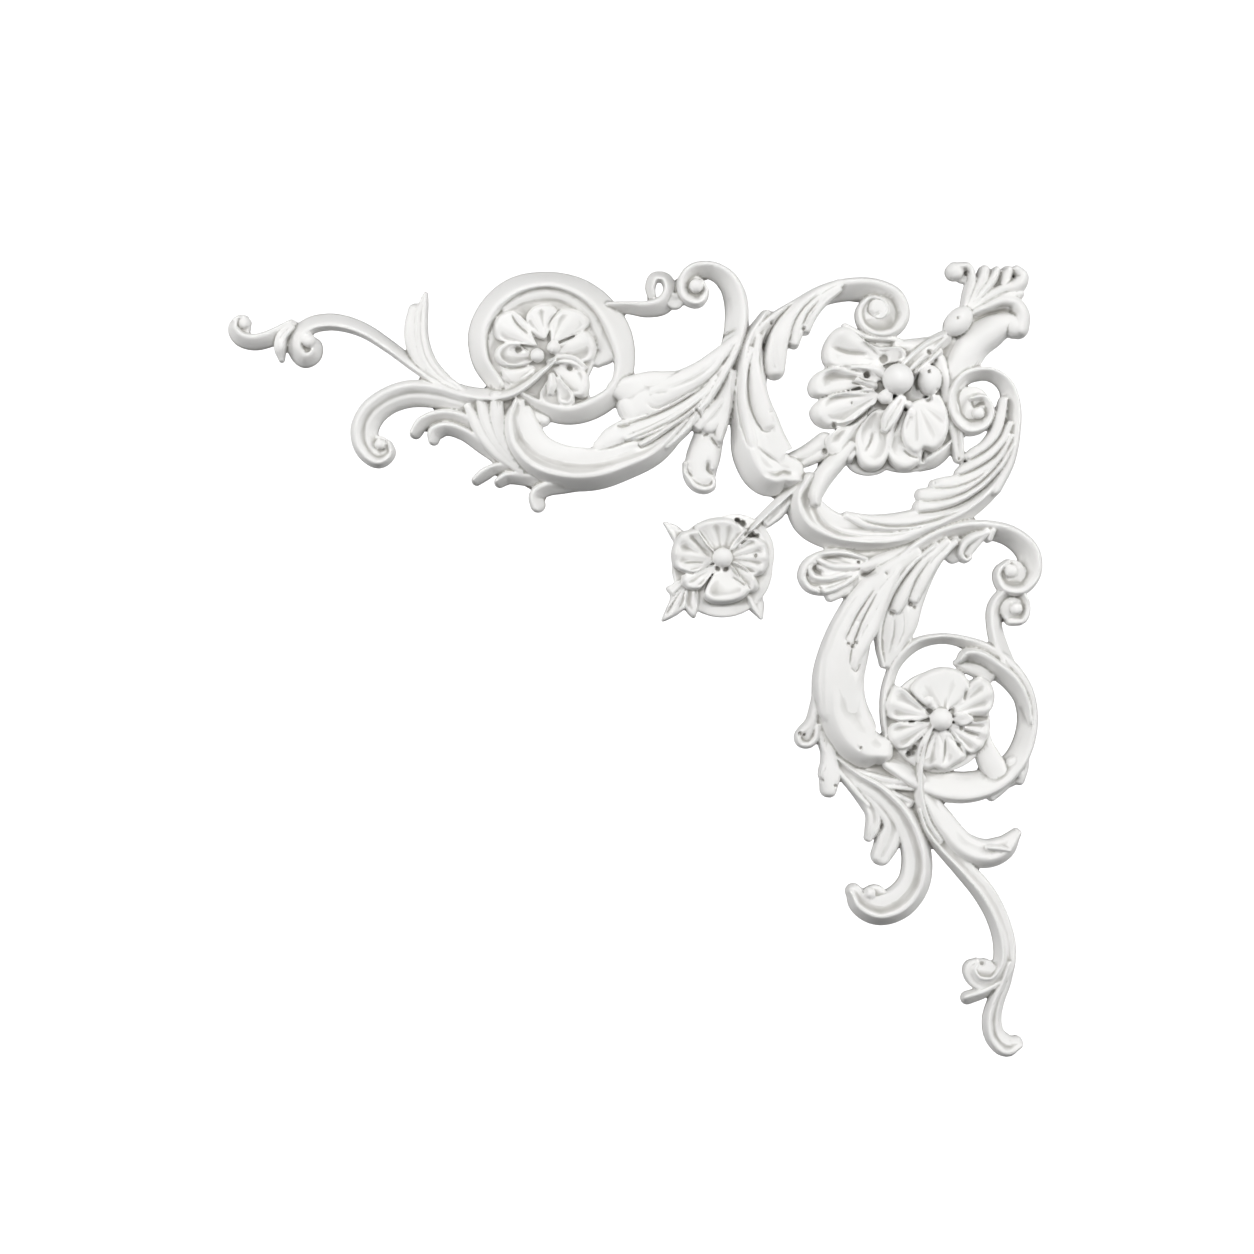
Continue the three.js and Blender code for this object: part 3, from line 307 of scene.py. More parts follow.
    def petal(self, root: tuple[float, float], rim: list[tuple[float, float]],
              root_height: float, rim_height: float, flutes: float = 0.0, depth: float = 0.0,
              lip: float = 0.0) -> None:
        """Carves a leaf or petal that fans out from a root to a rim.

        Args:
            root: (x, z) of the place it grows from, in millimetres.
            rim: (x, z) places round its outline, from one side of the root to the other.
            root_height: its height off the wall at the root.
            rim_height: its height off the wall near the rim.
            flutes: how many half waves of fluting fan out across it.
            depth: the fluting's depth, as a share of the height.
            lip: how far the rim is rolled up above the rest.
        """
        line = curve_through([(x, z, 1.0, 1.0) for x, z in rim], self.step)
        rows = self.fan_rows
        start = Vector(root)
        shell = bmesh.new()
        bmesh.ops.create_grid(shell, x_segments=len(line) - 1, y_segments=len(rows) - 1, size=1)
        for vert in shell.verts:
            turn = (vert.co.x + 1) / 2
            row = rows[round((vert.co.y + 1) / 2 * (len(rows) - 1))]
            place = start.lerp(line[round(turn * (len(line) - 1))].xy, row)
            side = abs(2 * turn - 1)
            height = root_height + (rim_height - root_height) * row ** self.fan_rise_power
            height *= 1 - self.fan_side_fall * side ** self.fan_side_power
            wave = math.cos(math.pi * flutes * (2 * turn - 1))
            height *= 1 + depth * wave * min(1, self.fan_flute_onset * row)
            height += lip * math.exp(-((row - self.lip_place) / self.lip_width) ** 2)
            fall = max(0.0, (row - self.lip_place) / (1 - self.lip_place))
            height *= self.rim_share + (1 - self.rim_share) * math.sqrt(1 - fall ** self.rim_power)
            vert.co = (place.x, -height, place.y)
        grown = bmesh.ops.extrude_face_region(shell, geom=shell.faces[:], use_keep_orig=True)
        for item in grown["geom"]:
            if isinstance(item, bmesh.types.BMVert):
                item.co.y = self.behind
        self._keep(shell)

    def ball(self, x: float, z: float, radius: float, height: float,
             other_radius: float | None = None, turn: float = 0.0) -> None:
        """A ball or oval boss on a stud that reaches back to the wall.

        Args:
            x, z: its middle.
            radius: its radius along x before it is turned.
            height: how far its top stands off the wall.
            other_radius: its radius along z, if it is oval.
            turn: degrees by which an oval one is turned.
        """
        other = other_radius or radius
        deep = min(radius, other)
        shell = bmesh.new()
        around, rings = self.ball_segments
        bmesh.ops.create_uvsphere(shell, u_segments=around, v_segments=rings, radius=1)
        for vert in shell.verts:
            if vert.co.z < 0:
                stud = (height - deep + self.behind) / deep
                vert.co.z = vert.co.z * self.stud_squash - stud
        bmesh.ops.scale(shell, vec=(radius, other, deep), verts=shell.verts)
        bmesh.ops.rotate(shell, cent=(0, 0, 0), matrix=Matrix.Rotation(math.radians(turn), 3, "Z"),
                         verts=shell.verts)
        self._stand(shell)
        bmesh.ops.translate(shell, vec=(x, deep - height, z), verts=shell.verts)
        self._keep(shell)

    def plate(self, x: float, z: float, radius: float, height: float,
              other_radius: float | None = None) -> None:
        """A low plate with a soft edge, which backs open carving.

        Args:
            x, z: its middle.
            radius: its radius along x.
            height: its height off the wall.
            other_radius: its radius along z, if it is oval.
        """
        other = other_radius or radius
        shell = bmesh.new()
        bmesh.ops.create_cone(shell, cap_ends=True, segments=self.plate_segments, radius1=1,
                              radius2=1, depth=height + self.behind)
        bmesh.ops.scale(shell, vec=(radius, other, 1), verts=shell.verts)
        front = [e for e in shell.edges if all(v.co.z > 0 for v in e.verts)]
        bmesh.ops.bevel(shell, geom=front, offset=self.plate_bevel, offset_type="OFFSET",
                        segments=self.plate_bevel_steps, profile=0.5, affect="EDGES",
                        material=-1)
        self._stand(shell)
        bmesh.ops.translate(shell, vec=(x, (self.behind - height) / 2, z), verts=shell.verts)
        self._keep(shell)

    def groove(self, stations: list[tuple[float, float]], width: float, depth: float) -> None:
        """Notes a carved line, which is cut once the forms are one body."""
        rows = [(x, z, 1.0, 1.0) for x, z in stations]
        self.grooves.append((width, depth, curve_through(rows, self.groove_step)))

    def pit(self, x: float, z: float, radius: float, depth: float) -> None:
        """Notes a small round hollow, which is cut once the forms are one body."""
        self.pits.append((x, z, radius, depth))


@dataclass(frozen=True)
class UpperWing:
    """The wing that runs left along the top."""

    vine_and_tail_line: tuple[Station, ...] = ((-168, 14, 1.8, 15), (-174, 9, 2.4, 15),
        (-182, 2.5, 3.2, 14.5), (-191, -2, 3.8, 14), (-202, -3, 4, 13), (-214, -1, 3.8, 12),
        (-226, 4.5, 3.3, 11.5), (-238, 12.5, 3.2, 11), (-250, 21.5, 3.4, 10.5),
        (-262, 29.3, 3.8, 10.5), (-272, 33, 4.2, 10.5), (-281, 34, 4.4, 10.5),
        (-290, 32, 4.5, 10.5), (-296, 26.5, 4.6, 10.5), (-296.5, 19.5, 4.5, 10.2),
        (-292.3, 14.9, 4.2, 9.8), (-287.3, 17, 3.4, 9.3), (-286.6, 22.5, 2.8, 8.8),
        (-290, 25, 2.2, 8.8))
    left_hook_line: tuple[Station, ...] = ((-205, -8, 4, 11), (-214, -6, 5.5, 12),
        (-227, -2.6, 6.6, 13), (-240, -2, 7, 13.5), (-251, -5.6, 6.9, 13.5),
        (-259.3, -12.4, 7.1, 13.5), (-262.8, -21, 7.1, 13.2), (-260.8, -29.6, 6.4, 12.5),
        (-255.2, -34.2, 5.2, 12), (-250.4, -31.5, 3.6, 11.3), (-250.9, -27.4, 2.4, 10.5))
    big_scroll_line: tuple[Station, ...] = ((-112, -27, 4, 15), (-103, -18, 4.5, 16),
        (-94, -6, 4.5, 16.5), (-86, 7, 4.5, 16.5), (-79.5, 21, 5.4, 16), (-76.8, 34, 6, 15.5),
        (-77.5, 46, 6, 15), (-82, 55, 5.2, 14.5), (-90, 59.6, 4.5, 14), (-98.5, 58.6, 4.4, 14),
        (-102.8, 53, 4.2, 13.8), (-101.6, 46.8, 4.2, 13.4), (-96.5, 44.6, 4, 13),
        (-93.3, 48.5, 3, 12.2), (-94.5, 52.5, 2.2, 11.8))
    ring_line: tuple[Station, ...] = ((-197, 3, 4.5, 11), (-204, 14, 5, 12),
        (-205.4, 28.4, 5.6, 13), (-198.7, 42, 5.8, 13.5), (-187, 51, 5.8, 14), (-171, 54, 5.2, 14),
        (-155.8, 50.4, 5.8, 14), (-144, 41.5, 6.4, 14), (-135.5, 27, 6.8, 14),
        (-132.8, 12, 5.2, 13.5), (-137, -1, 5, 13), (-149, -9.5, 5.5, 13), (-162, -12.5, 5, 12.5),
        (-175, -9, 4.5, 12), (-184, -4, 3, 11))
    top_curl_line: tuple[Station, ...] = ((-140, 41, 3, 11), (-131, 41, 3.2, 11),
        (-121.2, 40.3, 4.2, 11), (-113, 42.8, 4.8, 11), (-109.9, 50, 3.6, 11),
        (-112.6, 55.8, 3.1, 10.5), (-118, 56, 2.9, 10.5), (-119.9, 51, 2.7, 10),
        (-119.2, 47, 2.2, 9.5))

    def vine_and_tail(self, bench: Bench) -> None:
        """The stem that leaves the ring flower and ends in a volute and a far curl.

        Args:
            bench: where it is carved.
        """
        bench.stroke(Section.RIDGE, self.vine_and_tail_line)
        bench.ball(-289.8, 24, 3.4, 12)
        bench.plate(-292, 21, 6, 6)
        bench.stroke(Section.RIDGE, [(-299, 32, 3.2, 8.5), (-304, 28.7, 4, 9),
            (-310, 25.6, 4.3, 9.5), (-318, 23.8, 4.2, 9.5), (-325, 26, 4, 9.5),
            (-328, 30.8, 3.3, 9.5), (-327, 34.2, 2.3, 9)], flip=True)
        bench.ball(-322, 33.2, 3, 9)
        bench.bead([(-327, 34.4, 1.6, 9), (-324.5, 36, 1.5, 9), (-322, 35.6, 1.6, 9)])
        bench.plate(-323, 31, 3.6, 5)
        bench.spoon([(-299, 31, 2, 9), (-303.4, 26, 3, 10), (-304.6, 20, 3.1, 10),
            (-304, 15, 1.6, 6)])

    def upper_leaf(self, bench: Bench) -> None:
        """The upright two-lobed leaf.

        Args:
            bench: where it is carved.
        """
        bench.leaf([(-214, -1, 2.5, 10), (-223.5, 5, 4, 10.5), (-231.4, 13, 5.2, 10.5),
            (-236.4, 24, 6.2, 10.5), (-236.8, 33, 5.8, 10), (-236.6, 38.6, 4.6, 9.5)])
        bench.spoon([(-216, 1, 2, 10.8), (-224, 6, 2.8, 11.4), (-230.6, 14, 3.4, 11.6),
            (-233.8, 25, 3.4, 11.6), (-234, 36, 3.2, 11), (-232.8, 44, 2.2, 10),
            (-231.8, 48, 1, 8)])

    def left_hook(self, bench: Bench) -> None:
        """The hooked ribbon below the vine.

        Args:
            bench: where it is carved.
        """
        bench.stroke(Section.HOOK, self.left_hook_line, flip=True)
        bench.ball(-254.2, -27.4, 2.7, 11.5)
        bench.plate(-255, -28, 5, 7)

    def knobbed_leaves(self, bench: Bench) -> None:
        """Drooping leaves that end in knobs.

        Args:
            bench: where it is carved.
        """
        bench.stroke(Section.RIDGE, [(-196, -33, 3, 8), (-205, -22, 4, 10), (-214, -15, 4, 10.5),
            (-226, -13.5, 3.6, 10), (-234, -17, 3.6, 10), (-237, -21.5, 3.3, 9.5)], flip=True)
        bench.stroke(Section.RIDGE, [(-192, -37, 3, 8), (-203, -29, 3.6, 9.5),
            (-213, -22, 3.6, 10), (-222, -19.5, 3.6, 10), (-227.5, -22, 4, 10),
            (-228, -25, 3, 9)], flip=True)
        bench.stroke(Section.RIDGE, [(-172, -44, 4, 9), (-185, -40.5, 3.5, 9.5),
            (-197, -39.5, 3, 9), (-203, -42.5, 3.4, 9), (-206.5, -45.3, 2.8, 8.5)], flip=True)
        bench.stroke(Section.RIDGE, [(-172, -46, 4, 9), (-184, -44.5, 3.4, 9.5),
            (-191, -44, 3.4, 9.5), (-195, -46.2, 3, 9)], flip=True)
        bench.stroke(Section.RIDGE, [(-150, -46, 4, 9), (-163, -48, 4, 9), (-172, -49.5, 4, 9.5),
            (-177, -53, 3.8, 9.5), (-176, -57.5, 4, 9)], flip=True)

    def calyx_blades(self, bench: Bench) -> None:
        """Blades round the foot of the big scroll.

        Args:
            bench: where it is carved.
        """
        bench.leaf([(-184, -41, 2, 10), (-196, -31, 4, 11), (-205, -19, 4.2, 11.2),
            (-210.5, -9, 2.2, 11)])
        bench.leaf([(-186, -38, 2, 10.6), (-195, -27, 3.8, 11.6), (-201, -16, 4, 12),
            (-204, -6, 3.2, 12)])
        bench.leaf([(-188, -34, 2, 11.4), (-193.6, -23, 3.8, 12.4), (-196, -13, 4, 13),
            (-196.4, -4, 3.4, 13)])

    def big_scroll(self, bench: Bench) -> None:
        """The big scroll with its cup and its top volute.

        Args:
            bench: where it is carved.
        """
        bench.stroke(Section.SCROLL, [(-186, -8, 4, 14), (-187, -15, 7.5, 16),
            (-184.8, -26, 9.8, 17), (-176.5, -35, 10.6, 17.5), (-163, -39.5, 10.8, 17.5),
            (-148, -39.5, 10.8, 17.5), (-134, -35.5, 10, 17), (-119.5, -29, 9, 16.5),
            (-108, -18.5, 7, 16), (-98, -6, 5.5, 15)], flip=True)
        bench.stroke(Section.RIDGE, self.big_scroll_line, flip=True)
        bench.ball(-97.2, 51, 3.4, 14.5)
        bench.plate(-97.5, 50, 6, 8)
        bench.plate(-107.5, 44, 4.4, 8, 4)

    def scroll_lobes(self, bench: Bench) -> None:
        """Leaf lobes that fan out inside the big scroll.

        Args:
            bench: where it is carved.
        """
        bench.lobe(Side.LEFT, [(-86, 4, 2, 14.5), (-92, -3, 2.5, 14.5), (-99, -9.5, 3.2, 14.5),
            (-108, -15.5, 4, 14.4), (-118, -20.6, 5, 14.2), (-128, -25, 6, 14),
            (-138, -29, 5.4, 13.6), (-145, -30.6, 3, 13.2)])
        bench.lobe(Side.LEFT, [(-84, 9.5, 3, 14.5), (-90, 3.8, 4.5, 14.8), (-96, -1.2, 6, 14.8),
            (-105, -7, 8, 14.6), (-113, -11.2, 9.5, 14.2), (-121, -14.4, 9.4, 13.6),
            (-126, -16, 8.4, 12.8)])
        bench.leaf([(-104, 5.6, 4, 13.6), (-114, 4.2, 5.2, 13.8), (-121, 3.8, 5.4, 13.4),
            (-126, 3.4, 4.8, 12.4)])
        bench.lobe(Side.LEFT, [(-76, 24, 2, 15.5), (-81, 16, 4, 15.6), (-88, 7.5, 5.4, 15.6),
            (-95, 1.3, 6.4, 15.6), (-104, -4.2, 7.2, 15.4), (-109, -7, 7.6, 15.2),
            (-113, -8.8, 7.6, 14.8)])
        bench.lobe(Side.LEFT, [(-88, 2, 1.2, 15.4), (-94, -5.5, 1.6, 15.8), (-101, -11.5, 2, 16),
            (-110, -18, 2.4, 16.2), (-119, -23, 2.6, 16.2), (-127, -26, 2.4, 16),
            (-131, -26.4, 1.8, 15.6)])
        bench.lobe(Side.LEFT, [(-90, -1, 1, 15.8), (-97, -10.5, 1.5, 16.4),
            (-104, -16.5, 1.9, 16.8), (-112, -22, 2.1, 17), (-120, -27.3, 2, 17),
            (-123.5, -29, 1.6, 16.6)])
        bench.groove([(-120, -3.6), (-115.5, -2.2), (-111, -2)], 1.3, 0.5)
        bench.groove([(-113, -1), (-106, 1.5), (-98, 5), (-90, 10.5), (-84, 17.5)], 1.6, 0.7)
        bench.groove([(-85.6, 25.6), (-82, 27.2), (-78, 29)], 1.2, 3)
        bench.groove([(-97.8, -10.4), (-96, -12), (-95, -14)], 1, 2.6)
        bench.groove([(-136, -19), (-134, -19.2), (-130, -18)], 1.4, 1.8)
        bench.groove([(-187, -16), (-183, -26), (-173, -34), (-160, -38), (-145, -38),
            (-132, -34.8), (-120, -30)], 1.8, 0.3)
        bench.leaf([(-182, -12, 4, 12), (-179.5, -20, 5.4, 13), (-173.5, -27, 4.6, 13.4),
            (-163, -31, 3.6, 13.4), (-152, -31.4, 2.4, 13)])
        bench.groove([(-138, -18.6), (-133, -18.6), (-126, -16.4), (-116, -12.6), (-106, -7.4),
            (-98, -2.4)], 1.2, 1.6)

    def tongue(self, bench: Bench) -> None:
        """The pendant tongue leaf.

        Args:
            bench: where it is carved.
        """
        bench.leaf([(-79, 8, 2, 13), (-82, -3, 4, 13.2), (-86, -12, 6, 13.2), (-91, -17, 6, 13)])
        bench.leaf([(-81, -4, 2, 13), (-83.5, -13, 3.4, 13.3), (-85, -20, 3.4, 13.2),
            (-85.6, -25, 2.2, 12.6)])
        bench.lobe(Side.RIGHT, [(-86, -4, 2, 13.6), (-91, -8, 3, 13.8), (-95.5, -12.5, 3.4, 13.8),
            (-98.6, -17, 3, 13.4)])
        bench.leaf([(-88, -14, 6, 9), (-91.5, -25, 7.5, 10.5), (-94, -35, 8.4, 11.5),
            (-95, -42, 8, 11.5)])
        bench.bead([(-102.6, -37, 1.4, 12), (-101.5, -43.5, 2, 13), (-98, -48.2, 2.3, 13),
            (-93, -50, 2.3, 12.6), (-88.8, -48.5, 1.8, 12), (-88, -45.4, 1.2, 11.6)])
        bench.bead([(-84, -14, 2.5, 9), (-86.5, -26, 3, 9), (-87.5, -34, 2.8, 10),
            (-88, -38, 2.2, 10)])
        bench.groove([(-91.2, -37), (-91, -40.4), (-88.6, -42.2), (-87, -41)], 1.7, 3.4)
        bench.groove([(-102.6, -38.4), (-101.4, -41.6), (-99.6, -43)], 1.5, 2.8)
        bench.groove([(-99, -19.6), (-96.8, -21.6), (-95, -22)], 1.3, 3)
        bench.groove([(-93.5, -23.6), (-91, -22.4)], 1.1, 2)
        bench.groove([(-89.5, -24.6), (-87, -28), (-85.6, -30)], 1.2, 2.4)
        bench.groove([(-82.2, -20), (-83.4, -25), (-85.2, -29)], 1.2, 2.6)

    def ring(self, bench: Bench) -> None:
        """The ring and the crescent leaf inside it.

        Args:
            bench: where it is carved.
        """
        bench.stroke(Section.RIDGE, self.ring_line, flip=True)
        bench.leaf([(-192, 40, 2.4, 9.6), (-182, 46, 4, 10.6), (-169, 48, 4.6, 11),
            (-157, 44.6, 5.4, 11), (-149, 37, 5.8, 10.4), (-142.8, 27, 6, 9.4),
            (-141.6, 18.4, 5.4, 9), (-146, 14, 3, 8.4)])

    def ring_flower(self, bench: Bench) -> None:
        """The flower in the ring.

        Args:
            bench: where it is carved.
        """
        bench.plate(-174, 20, 27, 8.6)
        bench.bead([(-184, -8, 4, 8), (-179, -12.5, 4, 8.5), (-173, -15.5, 3, 9)])
        bench.leaf([(-137, 0, 5, 12.2), (-129, -1, 8.6, 12.8), (-119, -3, 9, 13.2)])
        for plate in ((-166, 2, 12, 6.5), (-156, -4, 6, 6), (-189, -7, 5, 6)):
            bench.plate(*plate)
        bench.petal((-176, 21), [(-180, 29.5), (-183, 35), (-189, 39), (-196, 36.5), (-198.5, 30),
            (-197, 25), (-191, 23), (-184, 22)], 13.5, 11.4, flutes=3, depth=0.06, lip=0.4)
        bench.petal((-172, 24), [(-166.4, 38.6), (-166.6, 40.2), (-172, 42.5), (-178, 41),
            (-182, 36), (-180.5, 30), (-178, 26)], 13.5, 11.4, flutes=3, depth=0.05, lip=0.4)
        bench.petal((-169, 22), [(-163, 24.5), (-151.5, 30), (-149.5, 34), (-154, 38.5),
            (-160, 40.5), (-166, 39), (-169.5, 33),
            (-170, 28)], 13.5, 11.2, flutes=3, depth=0.06, lip=0.4)
        bench.petal((-168, 17), [(-154, 13), (-149, 14), (-146.5, 19), (-148, 25), (-152, 29),
            (-158, 25.5), (-164, 23)], 12.5, 11.6, flutes=2, depth=0.07, lip=0.6)
        bench.petal((-179, 16), [(-181, 19), (-186, 22), (-192, 23), (-197, 19.5), (-197.5, 15),
            (-194.5, 11.5), (-189, 10.5), (-183, 11.5), (-179, 13)], 9, 12.4, lip=0.9)
        bench.petal((-178, 11), [(-181, 12), (-187, 11), (-194, 9.5), (-193.5, 5), (-190, 2.5),
            (-184, 4.5), (-178, 8)], 9, 10.5, flutes=2, depth=0.1)
        bench.spoon([(-170, 13, 2, 13), (-164, 14.6, 2.6, 13.6), (-158, 13.8, 2.6, 13.6),
            (-153, 10.5, 2, 12.5)])
        bench.petal((-168, 10), [(-160, 13.5), (-154, 11), (-150.5, 6), (-150.3, 0),
            (-152.5, -4.5), (-157, -4), (-161, 0),
            (-165, 5)], 10, 12.6, flutes=2, depth=0.08, lip=0.8)
        bench.petal((-167, 6), [(-162, 2), (-158, -3), (-157.5, -7), (-160, -9), (-164.5, -8),
            (-166, -3)], 11, 12.8, lip=0.6)
        bench.petal((-169, 6), [(-160, -8), (-163, -11), (-169, -11.3), (-174, -8.5), (-175, -3),
            (-172, 3)], 10, 12, lip=0.6)
        bench.petal((-173, 6), [(-174, -6), (-180, -6.5), (-186, -4.5), (-184, -1),
            (-178, 3.5)], 8, 9)
        bench.bead([(-169, 6, 2.2, 15), (-169, 1, 2.8, 17), (-169.5, -2, 2, 16)])
        bench.ball(-176, 16.3, 3.4, 19)
        bench.ball(-168, 20.5, 3.2, 16)
        bench.pit(-185.6, 19.4, 2, 2.6)
        bench.pit(-160, 10.4, 1.8, 2.6)
        bench.groove([(-189, 19), (-185, 19.6), (-181.6, 19.2)], 1.4, 1.6)
        bench.groove([(-163, 10.8), (-159, 10), (-156, 10)], 1.4, 1.6)
        bench.groove([(-189, 37), (-186, 32), (-181, 27.5)], 1.1, 1.6)
        bench.groove([(-165, 39), (-170, 33), (-171, 29.5)], 1.1, 1.6)
        bench.groove([(-151, 30), (-158, 26.5), (-162, 24.5)], 1.2, 1)
        bench.groove([(-190, 3), (-194, 8)], 1, 1.2)
        bench.groove([(-196.4, 15), (-193.6, 12.4), (-190, 10.4), (-184, 10.8),
            (-180, 12.6)], 1.3, 1.6)

    def top_curl(self, bench: Bench) -> None:
        """The small curl on the top edge.

        Args:
            bench: where it is carved.
        """
        bench.stroke(Section.RIDGE, self.top_curl_line)

    def carve(self, bench: Bench) -> None:
        """Carves every form of it.

        Args:
            bench: where it is carved.
        """
        self.vine_and_tail(bench)
        self.upper_leaf(bench)
        self.left_hook(bench)
        self.knobbed_leaves(bench)
        self.calyx_blades(bench)
        self.big_scroll(bench)
        self.scroll_lobes(bench)
        self.tongue(bench)
        self.ring(bench)
        self.ring_flower(bench)
        self.top_curl(bench)


@dataclass(frozen=True)
class Centre:
    """The two scrolls, the big flower and the horn in the corner."""

    left_scroll_line: tuple[Station, ...] = ((-72, 12, 3, 14), (-66.5, 25, 4.2, 15),
        (-57.5, 34, 4.6, 15), (-46, 40.6, 5, 15), (-34, 47, 5.3, 15), (-21, 50, 5.8, 15),
        (-8, 49.5, 6, 15), (1, 44.5, 6.6, 15), (3.6, 36.5, 6.2, 14.7), (-0.5, 30.3, 5, 14.2),
        (-7.5, 29.3, 4.2, 13.6), (-12.8, 32.6, 3.9, 13.4), (-14.2, 38.6, 3.6, 13.4),
        (-10.5, 43.6, 3, 13.2), (-4.8, 43, 2.4, 13.2), (-3, 38.8, 2, 13), (-6, 35.8, 1.8, 12.8),
        (-9.2, 37.4, 1.5, 12.8))
    horn_line: tuple[Station, ...] = ((39, 37, 2, 14), (47, 40.5, 2.8, 15), (55, 43.5, 3.4, 15.5),
        (61.5, 42.5, 4, 16), (65, 36.5, 4.6, 16), (64, 30.5, 5.3, 15.5))
    right_scroll_line: tuple[Station, ...] = ((50, -48, 6, 16), (56, -35, 6.4, 16),
        (59.4, -21, 5.6, 16), (60.2, -8, 4.8, 15.5), (57.4, 1.9, 3.9, 15), (50.7, 7.3, 3.5, 14.5),
        (43.5, 7.8, 3.6, 14.5), (36.5, 5.2, 3.8, 14.5), (31.6, -2.2, 4.3, 14.5),
        (32.4, -11.5, 4.8, 14.5), (38.3, -18.2, 5, 14.5), (45.2, -16.8, 4.4, 14),
        (48.2, -10.8, 3.8, 13.5), (45.6, -5.4, 3.2, 13), (41, -5.6, 2.4, 12.5))

    def left_scroll(self, bench: Bench) -> None:
        """The scroll left of the big flower.

        Args:
            bench: where it is carved.
        """
        bench.stroke(Section.SCROLL, [(-62, 36, 4, 15), (-69, 24, 5.5, 16), (-70.8, 10, 8.2, 17),
            (-70.3, -5, 10.2, 17.5), (-67.5, -18, 12.6, 18), (-64.3, -31, 14.8, 18),
            (-58.4, -40.4, 14, 17.5), (-52, -42, 9, 16)], flip=True)
        bench.stroke(Section.RIDGE, self.left_scroll_line)
        bench.plate(-6, 37, 9, 11)
        bench.plate(-7, 39.8, 4.4, 12.8)
        bench.groove([(-10.8, 41.6), (-11.4, 38.4), (-8.8, 36.4), (-6.2, 37.6)], 1.1, 1.3)
        bench.lobe(Side.RIGHT, [(-27, 54.5, 1.5, 15), (-40, 49, 3, 15.6), (-50, 41.7, 4.6, 16.2),
            (-57, 34, 5.6, 16.6), (-61.6, 24.5, 5.8, 16.8), (-63.4, 15, 6, 16.4),
            (-63.2, 10, 5.6, 15.6)])
        bench.lobe(Side.RIGHT, [(-26, 52.5, 1.5, 15.4), (-37, 46.5, 2.5, 16),
            (-44.6, 39, 3.2, 16.3), (-49.2, 31, 3.4, 16.4), (-51, 23.8, 3, 15.8)])
        bench.lobe(Side.RIGHT, [(-27, 50, 1.5, 15.4), (-36, 43.8, 2.2, 15.6),
            (-42, 36.4, 2.6, 15.6), (-44.6, 30.6, 2.6, 15)])
        bench.lobe(Side.RIGHT, [(-68, 26, 2, 16), (-71, 14, 3, 16.4), (-71.6, 2, 4.6, 16.6),
            (-70.4, -9, 5.6, 16.6), (-67.4, -16.5, 5.2, 16.4), (-65.4, -19.6, 4.4, 16)])
        bench.lobe(Side.RIGHT, [(-71.5, 20, 1.5, 16), (-75, 8, 2, 17), (-76.4, -5, 2.5, 17.5),
            (-75, -17, 3, 17.8), (-72.4, -26, 2.8, 17.6), (-71.4, -28.4, 2.4, 17)])
        bench.bead([(-49, -34, 3, 9), (-41, -31, 4.2, 9), (-33, -25.5, 4.6, 9)])
        for pit in ((-60, 32.5, 1, 2.5), (-60.3, -11.8, 1.1, 1), (-50.8, 21, 1.2, 4),
                (-49, 19.2, 1.6, 3), (-43.9, 29.4, 1.1, 2.5)):
            bench.pit(*pit)
        bench.groove([(-57.5, 26), (-58.6, 17), (-58, 9)], 1.4, 0.6)
        bench.groove([(-53.6, 24), (-54.4, 16), (-54, 10)], 1.4, 0.6)
        bench.groove([(-24, 54.4), (-34, 51.4), (-45, 45), (-53, 37.4), (-57, 32)], 1.2, 0.8)
        bench.groove([(-66, -29.6), (-61.5, -33.4), (-56, -37)], 1.2, 1)
        bench.groove([(-62.5, -42.6), (-58, -43.2), (-54, -42), (-50.5, -42.4)], 1.8, 2)
        bench.groove([(-75.4, 22), (-78, 12), (-79.2, 2), (-79.2, -8)], 1.2, 0.8)

    def big_flower(self, bench: Bench) -> None:
        """The big open flower.

        Args:
            bench: where it is carved.
        """
        bench.plate(-8, 0, 28, 6.5, 24)
        bench.plate(7, -16, 25.6, 6.5)
        bench.plate(-11, -36, 11, 6, 7)
        bench.stroke(Section.RIDGE, [(15, -38, 3, 10.5), (21, -35.5, 4, 11.5), (27, -31, 3.4, 11),
            (30, -27, 2, 10)])
        bench.bead([(-47, -37, 3, 8), (-40, -34.5, 3.4, 8), (-32, -31, 3, 8)])
        bench.bead([(-23, 31.6, 1.6, 12), (-18, 28.8, 1.8, 12), (-13, 25.9, 1.8, 12),
            (-6, 24.9, 1.8, 11.5), (2, 24.6, 1.8, 11), (7, 23, 1.8, 10)])
        bench.bead([(4, 21, 4, 12), (14, 21, 5, 12), (22, 22, 5, 12)])
        bench.petal((-2, 12.5), [(5, 14), (7.5, 17), (5, 20.5), (-1, 21), (-7, 20.8), (-12, 22.7),
            (-17, 26.5), (-21, 30), (-25.5, 31), (-30, 28), (-33.5, 22.5), (-34.6, 17), (-33, 12),
            (-27, 10.9), (-15, 10.7), (-8, 10.4)], 12, 15, flutes=5, depth=0.07, lip=0.8)
        bench.petal((-5, 4), [(-8, 9.6), (-14, 10.8), (-22, 10.8), (-30, 10.6), (-36.5, 8.5),
            (-40.5, 4.5), (-41.5, 0), (-40, -3.5), (-37, -4.4),
            (-33, -3.6)], 11, 15, flutes=3, depth=0.09, lip=1)
        bench.petal((-6, -3), [(-10, -0.5), (-17, -0.8), (-25, -2), (-32, -3.8), (-37.5, -6.5),
            (-40.5, -11), (-39, -16), (-34.5, -19.2), (-28, -19.6), (-22, -18.2), (-17, -14.5),
            (-12, -10.2), (-8.5, -8)], 12, 14.5, flutes=4, depth=0.08, lip=0.8)
        bench.petal((-11, -9), [(-18.2, -33), (-20, -37), (-25, -36), (-30, -33), (-33, -28.5),
            (-32.5, -24), (-28.5, -21.3)], 9, 12.5, flutes=3, depth=0.08, lip=0.6)
